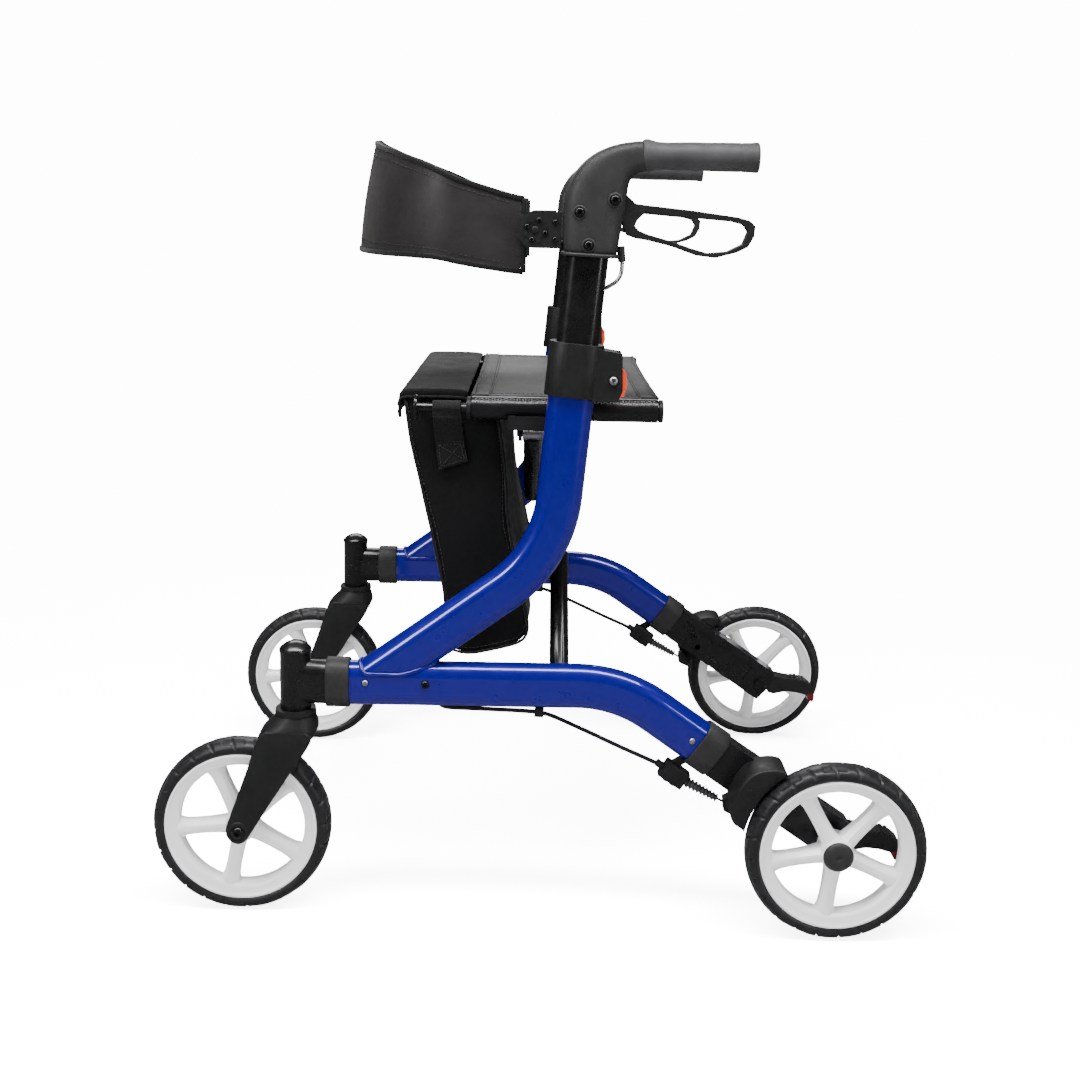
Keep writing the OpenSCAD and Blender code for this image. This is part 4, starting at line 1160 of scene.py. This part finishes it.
def make_rail_sleeve(name, k):
    """The seat's hem wrapped round its rail, with a zigzag seam on the shoulder and a cap on each end."""
    y0, y1 = SEAT_LOW.y, SEAT_HIGH.y
    x, z = RAIL.x, RAIL.z + RAIL_LIFT
    arc = [math.radians(100 - 12 * i) for i in range(29)]
    rows = 30
    rings = []
    steps = {y0 + (y1 - y0) * j / rows for j in range(rows + 1)}
    for low, high in HOOKS:
        steps |= {low - 1.2, low - 0.4, high + 0.4, high + 1.2}
    for y in sorted(steps):
        thin = any(low - 0.5 < y < high + 0.5 for low, high in HOOKS)
        ring = []
        for a in arc:
            r = WRAP_R - 0.3 + wrinkle((40 * math.cos(a), y, 40 * math.sin(a)), 26, 0.35, 5.0)
            if thin and z + r * math.sin(a) < HOOK_TOP:
                r = HOOK_R
            ring.append((x + r * math.cos(a), y, z + r * math.sin(a)))
        r = HOOK_INNER_R if thin else HEM_INNER_R
        inner = [(x + r * math.cos(a), y, z + r * math.sin(a)) for a in reversed(arc)]
        rings.append(ring + inner)
    body = f"{name}_rail"
    piece(f"{name}_seat_hem", loft(rings), VINYL, body, k, sharp=60)
    zig = []
    for n in range(ZIGZAGS):
        y = y0 + 5 + n * (y1 - y0 - 10) / (ZIGZAGS - 1)
        for a0 in (38, 50):
            a, b = math.radians(a0), math.radians(a0 + 9)
            lean = 1.1 if n % 2 else -1.1
            r = WRAP_R + 0.15
            zig.append(rod((x + r * math.cos(a), y - lean, z + r * math.sin(a)),
                           (x + r * math.cos(b), y + lean, z + r * math.sin(b)), 0.38, 6))
    piece(f"{name}_seat_zigzag", join(zig), BRIGHT_THREAD, body, k)
    caps = []
    for y in (y0 - 5.6, y1 + 1.0):
        caps.append(sweep([(x, y + d, RAIL.z) for d in (0, 0.8, 4.2, 5.0)], circle(12.6, 40),
                          scale=lambda t: 0.93 if t in (0, 1) else 1))
    piece(f"{name}_rail_caps", join(caps), MATTE_BLACK, body, k, sharp=40)


# the bag's side outline as (y, z), front top round to back top, and the height of its middle
BAG_OUTLINE = [(-156.5, 583), (-153.8, 560), (-150, 532), (-143, 498), (-137, 466), (-130, 432), (-122, 398),
               (-114, 366), (-109, 338), (-108, 314), (-107, 298), (-102, 288), (-90, 283.5), (-74, 283),
               (-56, 286.5), (-38, 291), (-22, 296), (-13, 303), (-9.5, 314), (-10.5, 330), (-14, 350),
               (-19, 378), (-25, 410), (-30, 436), (-34, 464), (-38, 496), (-43, 530), (-48, 562), (-50, 577)]
BAG_MIDDLE_Z = 430


def bag_side(ring, s):
    """A side panel between the front and back edges of the strip, dented inwards in places."""
    last = len(ring) - 1
    across = 12
    rows = []
    for i in range(last // 2 + 1):
        front, back = Vector(ring[i]), Vector(ring[last - i])
        row = []
        for q in range(across + 1):
            t = q / across
            m = front.lerp(back, t)
            edge = math.sin(math.pi * t) * min(1, 0.25 * (last / 2 - i))
            dent = wrinkle((m.x, m.y, m.z), 60, 5.0, 2.0 * s) + 1.2 * edge
            row.append((m.x - s * edge * max(-3.0, dent), m.y, m.z))
        rows.append(row)
    verts, faces = loft(rows, closed=False, cap=False)
    if s > 0:
        faces = [tuple(reversed(f)) for f in faces]
    return verts, faces


def make_bag():
    """A sewn bag: front, bottom and back in one strip with two side panels, slightly slumped."""
    half = (BAG_HIGH.x - BAG_LOW.x) / 2
    cy = sum(p[0] for p in BAG_OUTLINE) / len(BAG_OUTLINE)
    cols = 40
    rings = []
    for i in range(cols + 1):
        u = -1 + 2 * i / cols
        row = []
        for j, (y, z) in enumerate(BAG_OUTLINE):
            t = j / (len(BAG_OUTLINE) - 1)
            x = u * (half - 1)
            inset = 3.0 * max(0, abs(u) - 0.86) / 0.14
            belly = 4.5 * (1 - u * u) * math.sin(math.pi * t)
            w = wrinkle((x, y, z), 85, 4.0) * (1 - abs(u) ** 6)
            fine = wrinkle((x, y, z), 30, 1.2, 4.0)
            d = Vector((y - cy, z - BAG_MIDDLE_Z)).normalized()
            offset = belly - inset * 0.6 + w + fine - 4.5
            wave = 2.0 * math.sin(u * 9) if j == 0 else 0
            row.append((x, y + d.x * offset, z + d.y * offset * 0.5 + wave))
        rings.append(row)
    strip = loft(rings, closed=False, cap=False)
    ends = ((-1, rings[0]), (1, rings[-1]))
    verts, faces = join([strip] + [bag_side(ring, s) for s, ring in ends])
    obj = mesh_object("bag_shell", verts, faces, BAG_CLOTH)
    weld = obj.modifiers.new("sew", "WELD")
    weld.merge_threshold = 0.0004
    subdivide(thicken(obj, 2.2), 1)
    declare(obj, "right_rail", ["bag"])
    # piped seams round both side panels, and a row of stitches inside each
    parts = [sweep(smooth_path(ring, 2), circle(1.7, 8)) for s, ring in ends]
    piping = piece("bag_piping", join(parts), BINDING, "right_rail")
    threads = []
    for s, ring in ends:
        line = []
        for p in ring:
            inward = (Vector((p[0], cy, BAG_MIDDLE_Z)) - Vector(p)).normalized()
            line.append(Vector(p) + inward * 6 + Vector((s * 0.3, 0, 0)))
        threads.append(stitches(line, 3, 1.6, 0.3, normal=(s, 0, 0)))
    sewn = piece("bag_stitches", join(threads), THREAD, "right_rail")
    squeeze("bag", obj, piping, sewn)


STRAP_Y = -106
# the strap's patch and the stitches inside its edge: (along, height)
PATCH = ((-12, 531), (18, 533), (23, 510), (-9, 500))
PATCH_SEAM = ((-9, 528), (15.5, 530), (19.5, 512), (-6.5, 503.5))


def make_bag_straps():
    """On each side a webbing loop hangs the bag from its rod, sewn on with a patch."""
    half = (BAG_HIGH.x - BAG_LOW.x) / 2
    y = STRAP_Y
    outer = [(half + 4.2, y + 5, 512), (half + 4.0, y + 2, 536), (half + 5.5, y, 556), (211, y, 563.5),
             (218.2, y, 570.5), (216.5, y, 577), (211, y, 579), (205.8, y, 576.5), (203.5, y, 568),
             (half + 3.6, y + 1, 552), (half + 2.2, y + 3, 534), (half + 1.8, y + 5, 514)]
    for name, k in SIDES:
        body = f"{name}_rail"
        strap = sweep(smooth_path(outer, 5), [(b, a) for a, b in rounded(31, 1.6, 0.6, 2)], up=(0, 1, 0))
        piece(f"{name}_bag_strap", strap, WEBBING, body, k, sharp=50)
        patch = [[(half + dx, y + dy, z) for dy, z in PATCH] for dx in (2.4, 5.6)]
        piece(f"{name}_strap_patch", loft(patch), WEBBING, body, k, sharp=30)
        seam = [(half + 5.9, y + dy, z) for dy, z in PATCH_SEAM]
        box = [seam[i] for i in (0, 1, 2, 3, 0, 2, 1, 3)]
        piece(f"{name}_strap_stitches", stitches(box, 2.6, 1.2, 0.35, normal=(1, 0, 0)), THREAD, body, k)


# the lid's side outline as (y, z), from its back edge over the front, and its folded ends as (out, down)
LID_OUTLINE = [(-83, 588.2), (-88, 589.6), (-98, 590.4), (-112, 590.6), (-128, 590.5), (-142, 590.4),
               (-152, 590.0), (-157, 588.6), (-159.6, 585.6), (-160.6, 581), (-160.2, 574), (-158.6, 567)]
LID_ENDS = [(0.4, 9.0), (0.6, 4.6), (0.2, 1.2)]


def make_flap():
    """The bag's lid: a soft sheet, flat on top, whose edges fold down over the bag's front and sides."""
    half = (FLAP_HIGH.x - FLAP_LOW.x) / 2
    left = [[(-half - out, y, z - drop) for y, z in LID_OUTLINE] for out, drop in LID_ENDS]
    right = [[(half + out, y, z - drop) for y, z in LID_OUTLINE] for out, drop in reversed(LID_ENDS)]
    top = []
    for i in range(41):
        u = -1 + 2 * i / 40
        row = []
        for j, (y, z) in enumerate(LID_OUTLINE):
            w = wrinkle((u * half, y, z), 60, 2.2, 7.0) * min(1, 0.5 * j) * (1 - abs(u) ** 8)
            sag = 1.6 * (1 - u * u) * math.sin(math.pi * min(1, j / 8))
            row.append((u * (half - 2), y + 0.3 * w, z + 0.7 * w - sag))
        top.append(row)
    rings = left + top + right
    verts, faces = loft(rings, closed=False, cap=False)
    obj = mesh_object("bag_lid", verts, faces, BAG_CLOTH)
    subdivide(thicken(obj, 2.2), 1)
    declare(obj, "bag_flap", ["bag_flap"])
    edges = [rings[0], rings[-1], [r[-1] for r in rings]]
    parts = [sweep(e, rounded(3.2, 3.2, 1.3, 3), up=up)
             for e, up in zip(edges, ((0, 0, 1), (0, 0, 1), (0, 1, 0)))]
    bind = piece("bag_lid_binding", join(parts), BINDING, "bag_flap")
    squeeze("bag", obj, bind)


# the band's plan: a straight run from each side plate, then half an ellipse round the front
BAND_STRAIGHT = 74.0
BAND_DEPTH = 121.0
BAND_START_Y = -24.0


def band_centre(u):
    """Plan of the backrest band as (x, y), where u runs from -1 at the left end to 1 at the right."""
    quarter = 0.5 * math.pi * math.sqrt((BAND_X ** 2 + BAND_DEPTH ** 2) / 2)
    s = (1 - abs(u)) * (BAND_STRAIGHT + quarter)
    k = 1 if u >= 0 else -1
    if s < BAND_STRAIGHT:
        return k * BAND_X, BAND_START_Y - s
    a = (s - BAND_STRAIGHT) / quarter * math.pi / 2
    return k * BAND_X * math.cos(a), BAND_START_Y - BAND_STRAIGHT - BAND_DEPTH * math.sin(a)


BAND_TOP = [(0, 799.5), (0.08, 807), (0.165, 816), (0.336, 833), (0.55, 849), (0.8, 861), (1, 866)]
BAND_FOOT = [(0, 722), (0.12, 728), (0.26, 736.5), (0.4, 738), (1, 738)]


def along(stops, t):
    """A smoothed value between stops [(place, value)]."""
    for (a, p), (b, q) in zip(stops, stops[1:]):
        if t <= b:
            return p + (q - p) * (t - a) / (b - a)
    return stops[-1][1]


def band_heights(u):
    """Bottom and top of the band along its length."""
    w = 1 - abs(u)
    near = [min(1, max(0, w + d)) for d in (-0.03, 0, 0.03)]
    return sum(along(BAND_FOOT, t) for t in near) / 3, sum(along(BAND_TOP, t) for t in near) / 3


BAND_COLS, BAND_ROWS = 96, 20


def band_faces():
    """Outer and inner face of the padded band, as columns of points."""
    cols, rows = BAND_COLS, BAND_ROWS
    front, back = [], []
    for i in range(cols + 1):
        u = -1 + 2 * i / cols
        x, y = band_centre(u)
        x2, y2 = band_centre(u + 0.01 if u < 0.99 else u)
        x1, y1 = band_centre(u - 0.01 if u > -0.99 else u)
        tangent = Vector((x2 - x1, y2 - y1)).normalized()
        normal = Vector((tangent.y, -tangent.x))
        low, high = band_heights(u)
        lean = 22 * (1 - abs(u)) ** 1.2
        outer, inner = [], []
        for j in range(rows + 1):
            v = j / rows
            z = low + (high - low) * v
            swell = 1.1 + 2.2 * math.sin(math.pi * min(1, max(0, (v * 1.16 - 0.08)))) ** 0.8
            swell += wrinkle((x, y, z), 90, 0.5, 3.0)
            y_lean = y + lean * (v - 0.25)
            outer.append((x + normal.x * swell, y_lean + normal.y * swell, z))
            inner.append((x - normal.x * swell, y_lean - normal.y * swell, z))
        front.append(outer)
        back.append(inner)
    return front, back


def halfway(a, b, rise=0.0):
    """The point between two points of the band's faces, at the first one's height and a rise."""
    return (a[0] + b[0]) / 2, (a[1] + b[1]) / 2, a[2] + rise


def band_seams(front, back):
    """Two rows of stitches along each face, just off the cloth."""
    threads = []
    for j in (2, BAND_ROWS - 2):
        for face, other in ((front, back), (back, front)):
            line = []
            for i in range(2, BAND_COLS - 1):
                p, q = Vector(face[i][j]), Vector(other[i][j])
                line.append(p + (p - q).normalized() * 0.35)
            threads.append(stitches(line, 3.4, 1.8, 0.32, normal=(0, 0, 1)))
    return join(threads)


def make_band():
    """The backrest: a wide padded band between the two side plates, taller and leaning back in the middle."""
    front, back = band_faces()
    rings = [f + list(reversed(b)) for f, b in zip(front, back)]
    obj = piece("backrest_pad", loft(rings), LEATHERETTE, "backrest", replaces=["backrest_band"])
    subdivide(obj, 1)
    hems = []
    for j, rise in ((0, 0.8), (BAND_ROWS, -0.8)):
        line = [halfway(f[j], b[j], rise) for f, b in zip(front, back)]
        hems.append(sweep(line, rounded(4.4, 6.5, 1.9, 4), up=(0, 0, 1)))
    for i in (0, BAND_COLS):
        line = [halfway(f, b) for f, b in zip(front[i], back[i])]
        hems.append(sweep(line, rounded(4.8, 5.6, 2.0, 4), up=(0, 1, 0)))
    hem = piece("backrest_hems", join(hems), BINDING, "backrest")
    sewn = piece("backrest_stitches", band_seams(front, back), THREAD, "backrest")
    squeeze("band", obj, hem, sewn)
    for name, k in SIDES:
        tab = rounded(30, 34, 5, 5)
        x = BAND_X + 1.2
        rings = [[(x + dx, -20 + a * grow, 767 + b * grow) for a, b in tab]
                 for dx, grow in ((-1.3, 0.94), (-1.0, 1.0), (1.0, 1.0), (1.3, 0.94))]
        pivot = rod((x - 2, -12, 768), (TUBE_X + 9.4, -12, 768), 3.9, 24, dome=1.2)
        end = piece(f"{name}_backrest_tab", join([loft(rings), pivot]), MATTE_BLACK, "backrest", k, sharp=35)
        squeeze("band", end)


# ---------- the scene ----------

make_camera()
make_studio()
make_wheels()
make_handles()
make_frames()
make_seat()
make_bag()
make_bag_straps()
make_flap()
make_band()
